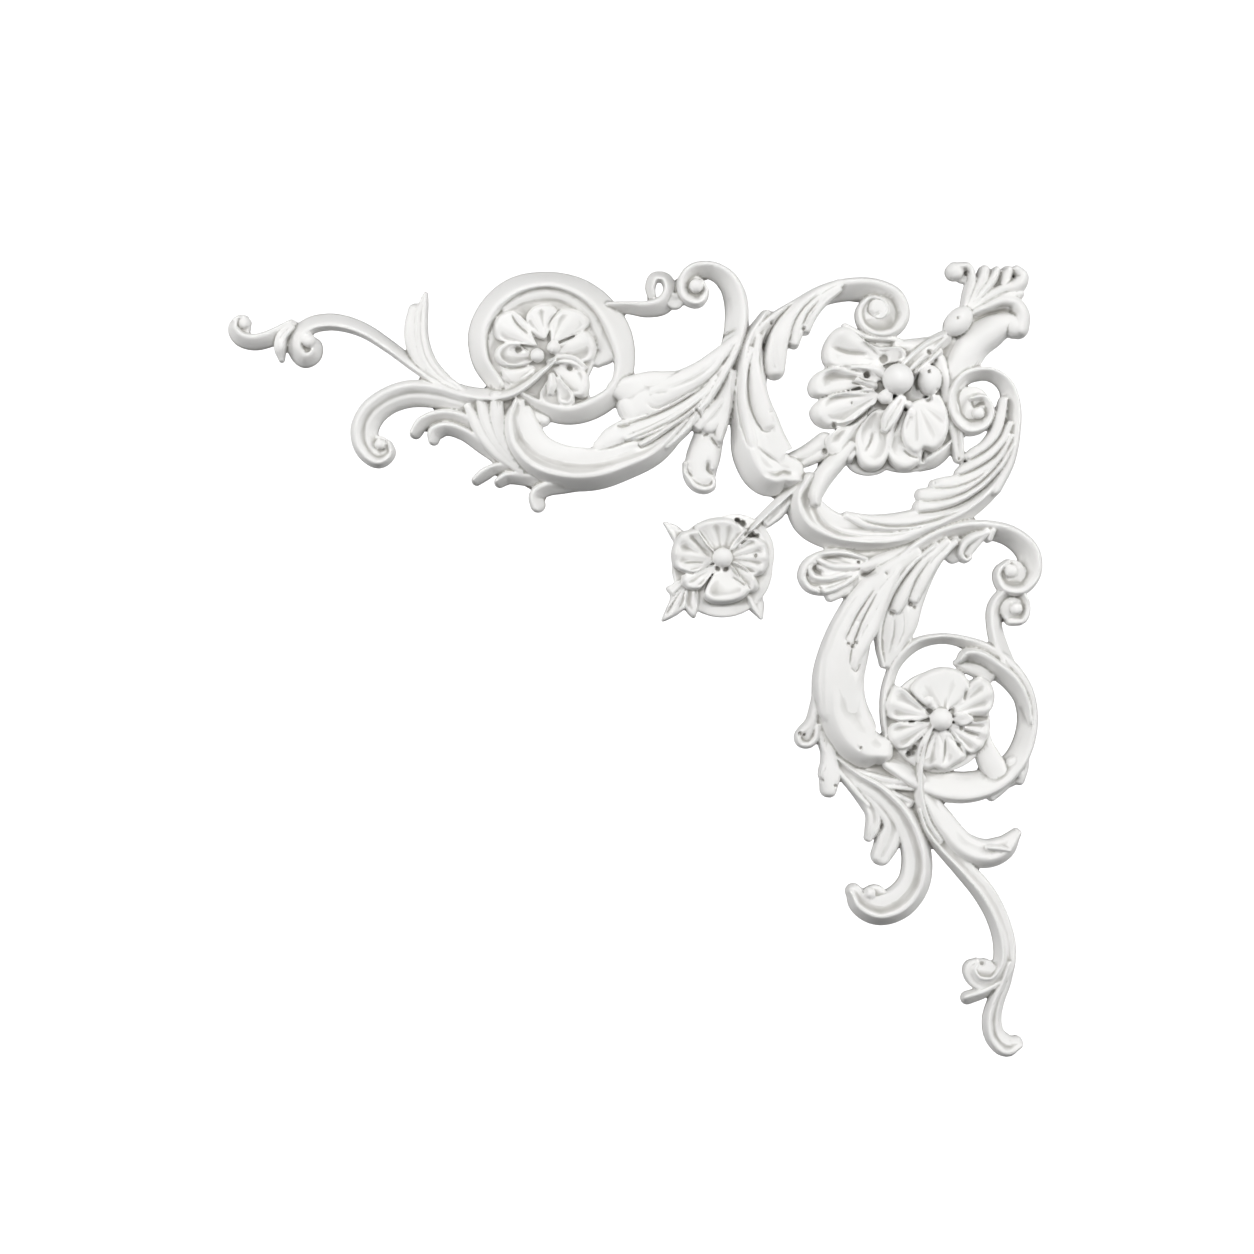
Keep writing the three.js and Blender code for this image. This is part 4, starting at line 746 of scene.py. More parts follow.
        bench.petal((-6, -10), [(1, -12), (1.5, -20), (-1, -28), (-2.6, -36), (-6, -40),
            (-11, -41), (-15.5, -38.5), (-17.8, -32), (-18.2, -25), (-15.5, -18.5),
            (-10, -12)], 10, 15.5, flutes=2, depth=0.03, lip=0.3)
        bench.petal((6, -11), [(13, -14), (16, -24), (15.8, -33), (12, -38.8), (6, -41.2),
            (0.5, -38.6), (-2, -34), (-0.8, -27), (1.5, -19),
            (3.5, -13)], 10, 15, flutes=2, depth=0.03, lip=0.3)
        bench.petal((12, -6), [(24, -3), (27.5, -11), (28.3, -20), (25.5, -27.5), (20.5, -31.3),
            (16, -30.4), (12.5, -33.6), (8, -31.5), (5, -26), (5, -19), (7.5, -12),
            (9, -8)], 15, 17, flutes=6, depth=0.02)
        bench.spoon([(27, 2, 3, 11), (30, -10, 4.5, 11), (32.5, -22, 4, 11), (34, -34, 3, 10)])
        bench.bead([(24, 14, 4, 13), (27, 5, 3.5, 12.5), (28, -5, 3, 12)])
        bench.ball(19, 4, 5.6, 19, 7.5, 0)
        bench.ball(3, 4.5, 7.6, 24)
        bench.ball(-3.2, -4.2, 3.5, 18)
        bench.bead([(-5, 8, 3.5, 15), (-9, 9.5, 3, 15), (-13, 10, 2.6, 15)])
        bench.bead([(-9, 1.5, 2.5, 15), (-13.5, 2, 2.6, 15), (-17, 4, 2, 14.5)])
        bench.spoon([(4.5, -5.5, 3, 17), (1.5, -11, 4.5, 18.5), (-2, -17, 4, 18),
            (-3.6, -20.5, 2, 17)])
        bench.ball(8.2, -8, 1.8, 17)
        bench.ball(9.2, -12.5, 2, 16.5)
        bench.bead([(6, 10, 5, 13.5), (15, 17, 6.5, 14.5), (26, 25, 4.5, 14.5)])
        bench.bead([(6, 12.5, 1.6, 16), (12, 18, 2, 15.6), (18, 22.5, 2, 15.6),
            (26, 26.5, 1.6, 15)])
        bench.bead([(9, 9.5, 1.8, 16), (15, 14.8, 2, 16.2), (21, 19.5, 2, 16.2),
            (27, 25, 1.8, 16)])
        bench.bead([(12, 8, 1.4, 15), (18, 13, 1.8, 15.5), (24, 18, 1.8, 16)])
        bench.pit(-12.2, 7, 2, 7)
        bench.groove([(14, 6.4), (12.6, 3.4), (13.2, 0)], 1.3, 4.6)
        for pit in ((18.2, 8, 1, 3), (22.3, -1, 1, 2.5), (18, -5, 2, 4), (18.6, 17.8, 1.4, 4),
                (22, 14, 1.1, 2.5), (-20, -7.5, 1, 1.2), (-4, 14.5, 2.6, 3),
                (-28.8, -18.2, 1.6, 4), (-33, -31, 1.6, 3)):
            bench.pit(*pit)
        bench.groove([(-10, -9.3), (-14, -13), (-19, -16.6), (-24, -18.2), (-29, -18.6)], 1.1, 5)
        bench.groove([(1, -22), (4, -15), (6.4, -9)], 1.1, 3)
        bench.groove([(-13, -31), (-10.5, -26), (-9.5, -22)], 1.2, 1)
        bench.groove([(6, -31), (9, -33.4), (13.5, -35)], 1, 2)
        bench.groove([(15.6, -31), (15.8, -36)], 1.3, 4)
        bench.groove([(-4, 21), (2, 21), (7, 19.4)], 0.9, 1.6)
        bench.groove([(-30, 20.5), (-22, 18), (-13, 17.2)], 1.6, 1.4)
        bench.groove([(-20, 2.6), (-15, 1.9), (-9.5, 0)], 1, 2.5)

    def horn(self, bench: Bench) -> None:
        """The horn with its sprays and bud.

        Args:
            bench: where it is carved.
        """
        bench.bead([(31, 4, 7, 12), (35.5, 13.5, 9, 14), (42, 23.5, 9, 15), (51, 30, 8.5, 15),
            (58, 33, 6, 14)])
        bench.bead(self.horn_line)
        bench.ball(61.5, 31, 5.6, 15)
        bench.bead([(41, 35, 3, 9.5), (49, 38.6, 3.2, 10), (57, 39.8, 3.2, 10.5)])
        bench.plate(27.5, 21, 6, 8.5)
        bench.bead([(38, 40, 2, 13), (42, 48, 3, 14), (45.5, 55, 3.4, 14.5), (46.5, 59, 3, 14)])
        bench.bead([(39, 40, 1.8, 13), (45, 47.5, 2.6, 14), (50, 54, 3, 14),
            (52.5, 59, 2.4, 13.5)])
        bench.bead([(40, 40, 1.8, 13), (48, 45.5, 3, 14), (56, 49.5, 3.6, 14.5),
            (63, 51.5, 4.4, 15), (65.3, 56, 3.6, 15), (62.5, 59.3, 2.6, 14)])
        bench.bead([(41, 39.5, 1.5, 13), (50, 43.5, 2.5, 13.5), (59, 46.5, 3.2, 14),
            (64, 47, 2.5, 13)])
        bench.bead([(36.5, 41, 2, 13), (38.5, 48, 2.8, 14), (40, 55, 2.6, 14.5),
            (38.2, 60.8, 2.4, 14.5), (33.5, 60.8, 2.8, 14)])
        bench.ball(31.6, 58.6, 4.6, 14)
        bench.plate(36, 57, 4, 8)
        bench.bead([(56, 51, 3, 13.5), (58, 58.6, 3.2, 14)])
        bench.plate(50, 52, 8, 8, 8)
        bench.ball(33, 33.3, 6, 21, 8.2, -40)
        bench.groove([(41.6, 34.4), (49, 37.4), (57, 38.8), (61.4, 37)], 1.5, 3.6)
        for pit in ((32, 34.2, 1, 1.4), (56.4, 60, 1.4, 3), (37.4, 57.6, 1.5, 3)):
            bench.pit(*pit)

    def right_scroll(self, bench: Bench) -> None:
        """The scroll right of and below the big flower.

        Args:
            bench: where it is carved.
        """
        bench.stroke(Section.RIDGE, self.right_scroll_line, flip=True)
        bench.ball(43.2, -12, 3, 13.6)
        bench.plate(40.5, -7, 8.4, 8.5)
        bench.groove([(40.4, -7.2), (41.6, -8.8), (44, -7.6), (45.6, -7.4)], 1.3, 3)
        bench.stroke(Section.SCROLL, [(56, -36, 5, 15), (49, -47, 7, 16), (37, -57, 8.2, 17),
            (22, -64.8, 8.4, 17.5), (5, -70.6, 9.6, 17.5), (-12, -72, 9.8, 17.5),
            (-27, -71, 9.6, 17.5), (-39.5, -64, 10.2, 17), (-43.5, -54.5, 8.4, 16),
            (-40.5, -47, 6, 15)])
        bench.bead([(-20, -29, 4, 13), (-28, -37, 5, 15), (-34.5, -45, 5.2, 16.5),
            (-38, -53, 4.4, 17.6), (-38, -56, 3.4, 17.6)])
        bench.leaf([(40, -58.5, 1.5, 15), (28, -62.4, 3, 16), (14, -65.6, 4.2, 16.4),
            (0, -67, 4.8, 16.4), (-12, -66.4, 4.4, 16), (-22, -63, 2.4, 15)])
        bench.lobe(Side.LEFT, [(57.5, -6, 2, 15), (56.5, -15, 2.8, 15.2), (54, -23, 3, 15.2),
            (48.5, -29.6, 2.6, 15), (42.6, -33.6, 2.6, 14.6), (39.4, -35.4, 2.2, 14)])
        bench.lobe(Side.LEFT, [(60, -18, 1.6, 15.8), (56.6, -27, 2.4, 16), (50, -34.6, 2.8, 15.8),
            (42, -39.8, 2.8, 15.2), (36, -42.6, 2.4, 14.4), (34, -43.2, 1.8, 14)])
        bench.lobe(Side.LEFT, [(55, -34, 1.5, 15.4), (48, -40.6, 2.2, 15.2),
            (41, -45.4, 2.8, 14.6), (33, -48.6, 3.2, 14), (26, -49.8, 3.2, 13.4),
            (21.6, -49.8, 2.6, 12.8)])
        bench.lobe(Side.LEFT, [(60, -24, 1.2, 16.4), (54.5, -35, 1.8, 16.6), (47, -44, 2.6, 16.2),
            (38.5, -50.6, 3.4, 15.6), (29, -54.6, 3.8, 15), (20, -56.2, 4, 14.2),
            (15.4, -56, 3.6, 13.8)])
        bench.lobe(Side.LEFT, [(60.5, -29, 1, 16.8), (54, -40.6, 1.5, 17), (45, -50, 2, 16.8),
            (34, -57, 2.5, 16.4), (23, -60.6, 3, 15.8), (14.6, -61.8, 3.4, 15)])
        bench.pit(21.8, -46.4, 1.2, 1)
        bench.pit(33.6, -34.8, 1, 1)
        bench.groove([(14, -62.4), (23, -61.6), (34, -58), (45, -50.8), (53, -42)], 1.4, 2)
        bench.groove([(-20, -61.5), (-13, -66), (-3, -68.4), (8, -68.4), (20, -65.8),
            (33, -61)], 1.1, 1.6)
        bench.groove([(-39, -59), (-35, -66.5), (-27, -72), (-15, -74.6), (-2, -74.6), (10, -72.8),
            (20, -70)], 1.9, 2)

    def carve(self, bench: Bench) -> None:
        """Carves every form of it.

        Args:
            bench: where it is carved.
        """
        self.left_scroll(bench)
        self.big_flower(bench)
        self.horn(bench)
        self.right_scroll(bench)


@dataclass(frozen=True)
class Rosette:
    """The rosette that hangs from the inner corner."""

    stem_line: tuple[Station, ...] = ((-46, -46, 3, 12), (-54, -54, 2.4, 11),
        (-63, -62.5, 2, 10.5), (-71, -70.5, 1.8, 13), (-79, -79, 1.5, 13))

    def stem(self, bench: Bench) -> None:
        """The thin stem and its leaflets.

        Args:
            bench: where it is carved.
        """
        bench.stroke(Section.RIDGE, self.stem_line)
        bench.spoon([(-51, -55, 2, 9), (-56, -61, 3.6, 9.5), (-61.5, -66.5, 2.5, 9)])

    def flower(self, bench: Bench) -> None:
        """The five-petalled rosette and its sepals.

        Args:
            bench: where it is carved.
        """
        bench.plate(-84, -88.6, 25.2, 7)
        bench.plate(-77.5, -82, 19.6, 6.5, 20)
        bench.plate(-76, -72, 8, 6.5, 8.3)
        bench.petal((-84, -84), [(-72, -70.5), (-75.5, -66.5), (-80, -64.6), (-86, -64.2),
            (-92, -65), (-98, -68), (-96.5, -71.5), (-91, -79),
            (-87.5, -82)], 9.5, 15, flutes=5, depth=0.03, lip=0.5)
        bench.petal((-86, -85), [(-98, -69.6), (-104, -71), (-108, -76), (-109.6, -82),
            (-108.5, -88), (-104, -91.3), (-98, -91.6)], 9.5, 14.5, flutes=4, depth=0.05, lip=1)
        bench.petal((-85, -86.5), [(-104.5, -93), (-104.5, -97.5), (-100, -100.2), (-95.5, -99.6),
            (-93, -97)], 9.5, 13.5, flutes=3, depth=0.05, lip=0.6)
        bench.petal((-83.5, -85), [(-78, -89.5), (-75, -94), (-70.5, -100), (-73, -104),
            (-78, -106.3), (-84, -107.2), (-90, -106.6), (-93.2, -104), (-92.5, -100),
            (-90, -95)], 9.5, 16, flutes=2, depth=0.02, lip=0.5)
        bench.petal((-83, -85), [(-77.5, -86.5), (-72, -89.5), (-67, -95), (-66.2, -99),
            (-69, -101.6), (-72.5, -100.5), (-77, -95)], 9.5, 14, flutes=3, depth=0.05, lip=0.5)
        bench.petal((-83, -84), [(-69.5, -73.8), (-66, -74), (-63, -76.5), (-61, -82),
            (-61.5, -88), (-64.5, -92.5), (-68.5, -93.5)], 9.5, 14, flutes=4, depth=0.06, lip=1)
        bench.bead([(-80.5, -80.5, 1, 12), (-77, -75.5, 1.3, 14), (-73, -70.5, 1.3, 15)])
        bench.bead([(-64, -78, 1.3, 13.5), (-62.8, -83, 1.5, 14), (-64, -88.5, 1.3, 13.5)])
        bench.ball(-84, -84, 4.9, 17)
        bench.spoon([(-103, -77, 4, 7), (-108, -70.5, 3.2, 7), (-112.6, -66.6, 1, 6)])
        bench.petal((-100, -93), [(-103, -104), (-102.5, -110), (-98, -114.3), (-96.2, -110),
            (-95.8, -104), (-97, -97)], 8, 9, flutes=2, depth=0.12, lip=0.4)
        bench.petal((-100, -93), [(-108, -96.5), (-112.3, -99.2), (-110, -103), (-112, -109),
            (-114.4, -115.8), (-108, -113.5), (-103, -110)], 8, 9.5, flutes=4, depth=0.12, lip=0.4)
        bench.stroke(Section.HOOK, [(-70, -101, 4.5, 8), (-66.8, -108, 4.2, 8),
            (-64.6, -113.5, 1.4, 7)], flip=True)
        for pit in ((-76.5, -65.8, 1.8, 8), (-74, -67, 1.8, 8), (-72, -72.8, 1.6, 5),
                (-69.5, -72.6, 1.9, 6), (-67, -73.3, 1.4, 5), (-67.6, -83.2, 1.2, 2.4),
                (-86.3, -89.6, 1.5, 3), (-82.3, -89.8, 1.6, 3.5)):
            bench.pit(*pit)
        bench.groove([(-91, -82.5), (-95.5, -78.5), (-100, -73.8)], 1.6, 2)
        bench.groove([(-102.5, -86.8), (-98, -86.6), (-93.5, -86.6)], 1, 1.4)
        bench.groove([(-70, -99.6), (-74.5, -96.8), (-79, -93.5)], 1, 1.2)
        bench.groove([(-92.5, -101), (-90.8, -96), (-87.5, -91)], 1, 1.4)
        bench.groove([(-97, -69.5), (-93, -75), (-89.5, -79.5)], 1.1, 1.4)

    def carve(self, bench: Bench) -> None:
        """Carves every form of it.

        Args:
            bench: where it is carved.
        """
        self.stem(bench)
        self.flower(bench)


@dataclass(frozen=True)
class LowerWing:
    """The wing that runs down the right side."""

    pendant_leaf_line: tuple[Station, ...] = ((-13, -84.6, 1.4, 12.4), (-23, -81.8, 1.9, 13),
        (-33.5, -82.2, 2.2, 13.4), (-41.6, -86.6, 2.4, 13.7), (-44.2, -93, 2.4, 13.9),
        (-41, -98.8, 2.4, 13.9), (-33.5, -100.8, 2.2, 13.6), (-25, -98, 2, 13.2),
        (-16.5, -92.4, 1.6, 12.6))
    cup_scroll_line: tuple[Station, ...] = ((-2, -92, 4, 15), (10, -82, 4.6, 15.5),
        (23, -74, 4.8, 15.5), (36, -70, 4.6, 15.5), (49, -70, 5, 15.5), (60.5, -73.5, 5.5, 15.5),
        (68.6, -81.5, 6, 15.5), (69.5, -91.5, 5.8, 15), (64.2, -98.3, 5, 14.5),
        (56.8, -97.5, 4.4, 14), (54.6, -91.5, 3.6, 13.5), (58.5, -87.3, 2.8, 13))
    small_volute_line: tuple[Station, ...] = ((60, -140, 4, 13), (55, -129, 4.4, 13),
        (52, -118, 4.1, 13), (52.3, -108.5, 4, 13), (57, -102.5, 3.6, 13), (63.5, -102.2, 3.2, 13),
        (66.6, -107.5, 3.1, 12.5), (64.8, -113.5, 4, 12), (60.5, -114.2, 4, 11))
    ring_line: tuple[Station, ...] = ((0, -178, 2.5, 10), (-2.2, -165, 3, 10.5),
        (-1.6, -150, 3.2, 11), (2.9, -137.1, 2.9, 11), (12.6, -127.4, 3.2, 11),
        (25, -124.3, 2.8, 11.5), (37, -126, 3.2, 12), (48, -130.5, 4.2, 12.5), (58, -139, 5.5, 13),
        (65.5, -150, 5.6, 13.5), (68.5, -162, 5.2, 13.5), (67, -174.5, 5.4, 13.5),
        (61.5, -186, 6, 13.5), (52, -194.5, 7, 13.5), (39, -198.5, 8, 13.5), (25, -197.5, 8, 13),
        (12, -192.5, 7, 12.5), (0, -186, 5, 12))
    vine_and_tail_line: tuple[Station, ...] = ((15, -210, 2.6, 13.4), (18.4, -219, 3.4, 13.4),
        (25.5, -228, 4, 12.6), (36.2, -239, 5, 12.2), (46.5, -250.9, 5.6, 12.2),
        (53.4, -263.6, 5.5, 12.2), (57, -277, 5.6, 12.2), (56.2, -287.5, 5.6, 12),
        (50.5, -294.5, 5, 11.5), (43, -294, 5, 11), (40, -288.5, 4, 10.5), (43, -285.8, 2.2, 10))

    def pendant_leaf(self, bench: Bench) -> None:
        """The rolled leaf on the inner side.

        Args:
            bench: where it is carved.
        """
        bench.plate(-33, -91, 12, 7, 9)
        bench.bead([(-24, -83, 3, 8), (-12, -84, 4, 8), (0, -82, 4, 8)])
        bench.leaf([(-6, -87, 3, 11.6), (-15, -88.6, 6, 11.2), (-26, -91, 8.6, 11),
            (-34, -92.4, 9.2, 10.8), (-37, -92.6, 8, 10.6)])
        bench.bead([(-12, -88, 2, 12.4), (-22, -88.6, 2.8, 12.8), (-30, -88.2, 2.8, 13),
            (-36, -85.4, 2, 13)])
        bench.bead([(-14, -91, 2, 12.2), (-24, -93.2, 2.6, 12.8), (-32, -94.4, 2.6, 13.2),
            (-38.6, -93.6, 2.2, 13.4), (-41, -89.6, 1.8, 13.2), (-38.4, -86.8, 1.5, 13)])
        bench.bead(self.pendant_leaf_line)
        bench.leaf([(-14, -93, 2, 10.5), (-22, -99, 3.4, 11), (-30, -103.4, 2.8, 10.4)])
        bench.bead([(24, -73, 3, 13), (8, -81, 4, 13.5), (-6, -86, 4.2, 13.5),
            (-14, -88.5, 3, 13)])
        bench.groove([(-38.6, -88), (-37.4, -90.4), (-34.8, -91.6)], 1.5, 4)
        bench.pit(-16.4, -86.3, 1, 2.6)
        bench.groove([(-35.4, -99.6), (-34.8, -103.6)], 1.5, 3.4)
        bench.groove([(-44.6, -93), (-40, -96.6), (-33, -97), (-25, -94.4),
            (-17, -91.2)], 1.3, 1.2)
        bench.groove([(-42, -86), (-36, -83.4), (-28, -84.4), (-20, -87)], 1.3, 0.9)
        bench.groove([(-15, -92), (-11.5, -92.4), (-8, -90.8)], 1.8, 6)

    def cup_scroll(self, bench: Bench) -> None:
        """The upper scroll and the big cupped scroll below it.

        Args:
            bench: where it is carved.
        """
        bench.stroke(Section.RIDGE, self.cup_scroll_line)
        bench.ball(59.3, -90.8, 3.2, 14.5)
        bench.plate(60, -92, 7, 10)
        bench.stroke(Section.LEAF, [(12, -82, 4, 15), (0, -91, 6.5, 16), (-10.5, -102, 8.5, 17),
            (-18, -116, 10.5, 17.5), (-23, -131, 12.5, 17.8), (-26.3, -146, 13, 17.8),
            (-25.4, -157, 12.6, 17)], flip=True)
        bench.stroke(Section.SHELL, [(-25, -140, 12.5, 17), (-26, -150, 13.2, 18),
            (-24.8, -161, 14, 18), (-20, -171.5, 14, 18), (-12.5, -178.5, 11.5, 17.5),
            (-6.5, -180, 8, 16.5)], flip=True)
        bench.groove([(-33, -128), (-34.8, -140), (-35, -152), (-34, -164)], 1.2, 0.7)
        bench.groove([(-12.6, -142), (-12.4, -152), (-10.6, -162), (-7, -170)], 1.3, 0.8)
        bench.lobe(Side.RIGHT, [(2, -88, 2, 16), (-9, -100, 3.6, 17), (-17, -112, 4.4, 17.4),
            (-22.5, -123, 3, 17)])
        bench.lobe(Side.RIGHT, [(2, -88, 2, 16), (-8, -102, 4, 17), (-16, -118, 5, 17.6),
            (-20.5, -131, 3.6, 17.4), (-21, -135.4, 2.6, 17)])
        for pit in ((-21.8, -127, 1.2, 2), (-19.8, -128, 1.2, 2), (-18, -126.4, 1.1, 1.6),
                (-3, -92, 1.2, 1), (-17, -116, 1.2, 0.8)):
            bench.pit(*pit)
        bench.groove([(-33, -132), (-29, -121), (-23, -110), (-15, -100)], 1.3, 0.8)
        bench.groove([(-20.4, -139), (-18, -140.6), (-16, -137)], 1, 1.4)
        bench.plate(31, -80, 5, 9, 7)
        bench.leaf([(27, -77, 4, 11), (16, -89, 7.4, 11.5), (8.5, -103, 9, 12),
            (3.6, -116, 10.2, 12), (0.5, -127, 7.6, 11.4), (-2.6, -136, 3.4, 10.4)])
        bench.lobe(Side.RIGHT, [(26, -74.5, 2, 15), (14, -84.6, 3, 15.4), (5.5, -95.5, 4, 15.4),
            (0.6, -104, 4, 15), (-0.8, -108.6, 3.2, 14.4)])
        bench.lobe(Side.RIGHT, [(30, -75, 2, 15), (19, -84.5, 3, 15.2), (12, -95, 3.4, 15.2),
            (8.4, -103.4, 3, 14.6)])
        bench.bead([(22, -77.5, 1.5, 15), (10, -87.6, 1.9, 15.4), (2, -98, 2.1, 15.2),
            (-3.4, -109, 2, 14.6), (-6, -119, 1.8, 13.8), (-6, -129, 1.6, 12.6),
            (-4, -138, 1.2, 11.6)])
        bench.groove([(1.4, -114), (1, -122), (-1.4, -132)], 1.2, 0.8)
        bench.groove([(6.4, -112), (6, -120), (2, -130)], 1.2, 0.6)
        bench.groove([(12.6, -119.6), (8.6, -124.6), (5, -130)], 1.1, 1)
        for pit in ((0.6, -111.4, 1.6, 2.6), (9.4, -107.4, 1.4, 2.4), (11.2, -108.8, 1.2, 2)):
            bench.pit(*pit)
        bench.bead([(46, -72, 2.5, 16), (40, -74.4, 3, 16), (35.8, -78, 2.6, 15.4),
            (34.4, -82.6, 2.2, 14.6), (37, -85.4, 1.6, 14), (39.4, -84, 1.3, 13.6)])
        bench.leaf([(47, -71, 2.4, 15.4), (42, -76, 3, 14.4), (38, -81.6, 2.6, 13.2)])
        bench.bead([(50, -71, 2, 16), (48.6, -74.6, 2, 15)])

    def small_volute(self, bench: Bench) -> None:
        """The small volute that rises from the ring.

        Args:
            bench: where it is carved.
        """
        bench.stroke(Section.RIDGE, self.small_volute_line)
        bench.ball(62, -109.3, 3, 13)
        bench.plate(60.5, -110, 6, 8.6)

    def ring(self, bench: Bench) -> None:
        """The ring and its crescent leaf.

        Args:
            bench: where it is carved.
        """
        bench.stroke(Section.RIDGE, self.ring_line)
        bench.stroke(Section.RIDGE, [(68, -166, 2, 14), (65.9, -156, 3.3, 15),
            (60.2, -146.2, 4.4, 16), (51, -138.6, 4.9, 16.5), (43, -134, 5, 16.5),
            (37.6, -133.4, 4.2, 16.2), (34, -136, 1.8, 15.6)], flip=True)

    def ring_flower(self, bench: Bench) -> None:
        """The flower in the ring.

        Args:
            bench: where it is carved.
        """
        bench.plate(24, -165.5, 25.4, 8)
        for plate in ((3, -184, 8, 6, 7), (-5, -190, 8, 5, 6), (8, -200, 7, 5, 6)):
            bench.plate(*plate)
        bench.bead([(33, -136.5, 1.8, 9), (38, -138.5, 3.2, 9.5), (44, -140.3, 4, 10),
            (49, -143.5, 3, 10)])
        bench.leaf([(46, -168, 3, 8), (46.5, -177, 5, 9.6), (49.5, -185, 6.4, 10.8),
            (53, -191, 6, 11.4)])
        bench.petal((26, -161), [(32, -157), (36.5, -152.5), (38.6, -147), (36.5, -142),
            (31, -139), (25, -138.4), (18, -140.6), (12, -144.8), (9.5, -149.5), (13.5, -155),
            (20, -159.5)], 13.5, 13, flutes=3, depth=0.03)
        bench.petal((20, -163), [(16.5, -159), (12, -155), (6.5, -149.5), (2, -147.6),
            (-1.6, -152), (-3, -158), (-2, -163), (3, -165.3), (10, -165),
            (16, -164.6)], 11.4, 12.6, flutes=5, depth=0.055, lip=0.3)
        bench.petal((20, -166), [(15, -165.4), (8, -166.2), (0, -166.6), (-2.6, -170.5),
            (-1, -176), (3, -179.6), (8, -178.6), (12.5, -175.5),
            (17, -170)], 11.4, 12, flutes=5, depth=0.06, lip=0.3)
        bench.petal((22.5, -168), [(19, -171.5), (16.5, -177), (14.6, -183), (13.6, -187.3),
            (17.2, -190), (21.5, -189), (26, -190.3), (31, -187.8), (36, -184.6), (37.5, -181.5),
            (33, -175.5), (29, -170.5)], 11, 12.4, flutes=5, depth=0.06, lip=0.3)
        bench.petal((27, -167), [(31, -172.5), (36.5, -179.5), (40.5, -181.8), (45.5, -178.4),
            (48.8, -172), (49.2, -165.5), (44, -165.4)], 11.4, 12.2, flutes=5, depth=0.06, lip=0.3)
        bench.petal((28, -162), [(47.5, -162.8), (51, -157.5), (51.5, -151), (49, -145.6),
            (44, -143.4), (39.5, -145.4)], 12, 12.4, flutes=3, depth=0.05, lip=0.3)
        bench.bead([(19.8, -168, 1.2, 13), (17, -173, 1.5, 13.5), (14, -178.5, 1.4, 13),
            (12.8, -185, 1, 12)])
        bench.petal((30, -164.5), [(33, -161.6), (38, -161.9), (41, -164.2), (38.5, -166.6),
            (34, -167.8)], 13, 15.5)
        bench.ball(24.5, -164.4, 5.5, 19)
        bench.ball(18, -155.3, 2.2, 15.4)
        for pit in ((10, -181, 2.2, 5), (11.8, -178.6, 1.6, 4), (8.6, -182, 1.5, 4),
                (33.6, -177, 1.3, 2), (34.6, -168.7, 1.4, 1.8), (18.5, -160.8, 1.8, 2.5),
                (30, -160.4, 1.8, 2.5)):
            bench.pit(*pit)
        bench.groove([(42, -164), (46, -163.7), (48.5, -163.6)], 1.3, 1.6)
        bench.groove([(35, -169.4), (39, -171), (43, -172)], 1.2, 2.4)
        bench.groove([(4, -166.2), (10, -165.8), (17, -166)], 1.2, 1.2)
        bench.groove([(20.5, -171.5), (17.6, -177), (16, -183)], 1, 2)
        bench.groove([(29.6, -171), (33, -176.5), (36, -182)], 1, 2)
        bench.groove([(27, -173), (26.5, -180), (25, -187)], 1, 1)
        bench.groove([(37, -150), (36, -154)], 1.4, 2)

    def vine_and_tail(self, bench: Bench) -> None:
        """The stem, leaves and volutes of the tail.

        Args:
            bench: where it is carved.
        """
        bench.stroke(Section.RIDGE, [(20, -166, 1.8, 15), (15.8, -177, 2.2, 15),
            (13.3, -190, 2.6, 15), (13.3, -203, 3, 14.5), (17, -216, 3.4, 13), (23, -225, 3, 12)])
        bench.stroke(Section.SCROLL, self.vine_and_tail_line, flip=True)
        bench.plate(46.5, -290, 6, 9.4)
        bench.pit(45, -285.6, 1.7, 2.4)
        bench.stroke(Section.SHELL, [(14, -192, 2.5, 13), (17.5, -203, 5, 13),
            (25, -215.5, 7, 13.5), (36, -228, 7.4, 13.5), (47.5, -231.8, 7.4, 13.5),
            (56.6, -228.6, 6.3, 13), (62.8, -221.6, 2.8, 11)], flip=True)
        bench.bead([(48, -228, 2, 14.5), (54, -228.5, 2.4, 15), (58.5, -229.5, 1.4, 14)])
        bench.spoon([(-20, -190, 2, 9), (-6, -195, 3.4, 10), (10, -198, 2.5, 10)])
        bench.spoon([(-18, -193, 2, 9), (-4, -201, 3.6, 10), (9, -206, 2.5, 10)])
        bench.stroke(Section.SCROLL, [(-28, -184, 3, 11), (-18, -192.5, 4.5, 12),
            (-6, -200, 5.5, 13), (4, -210, 6.4, 14), (10.5, -222, 7.2, 14.5),
            (13.4, -235, 7.8, 15), (11.5, -247, 8.3, 15), (4, -256, 8.8, 15),
            (-6, -259.3, 8.4, 14.5), (-14.5, -256, 6.8, 13.5), (-18.5, -250.5, 4.2, 12.5)])
        bench.ball(-11, -250.8, 2.8, 13)
        bench.plate(-8, -252, 6, 9.6, 5)
        bench.pit(-13.4, -249.8, 1.3, 2)
        bench.spoon([(-20, -194, 2.5, 9), (-12, -204, 4, 9.5), (-8.5, -213, 4, 10),
            (-9.5, -220, 3.5, 10), (-11, -223.5, 2.4, 9)])
        bench.spoon([(-17, -196, 2.5, 9.5), (-6, -206, 4.6, 10.5), (0.5, -217, 5, 11),
            (-1.6, -226, 6.4, 11), (-4.6, -232.4, 5.4, 10.5)])
        bench.bead([(-27, -190, 2, 8), (-18, -200, 2.4, 8), (-11, -210, 2.4, 8.5)])
        bench.leaf([(-33, -172, 3, 10), (-31, -182, 4, 11), (-30.3, -192, 5.4, 12),
            (-31, -199.4, 4.4, 12)])
        bench.bead([(-31, -184, 1.6, 11), (-34, -189, 1.9, 11.4), (-35, -192.6, 1.3, 11)])
        bench.pit(-34.4, -195, 1.2, 2.4)
        bench.pit(-28, -197.6, 1.1, 2)
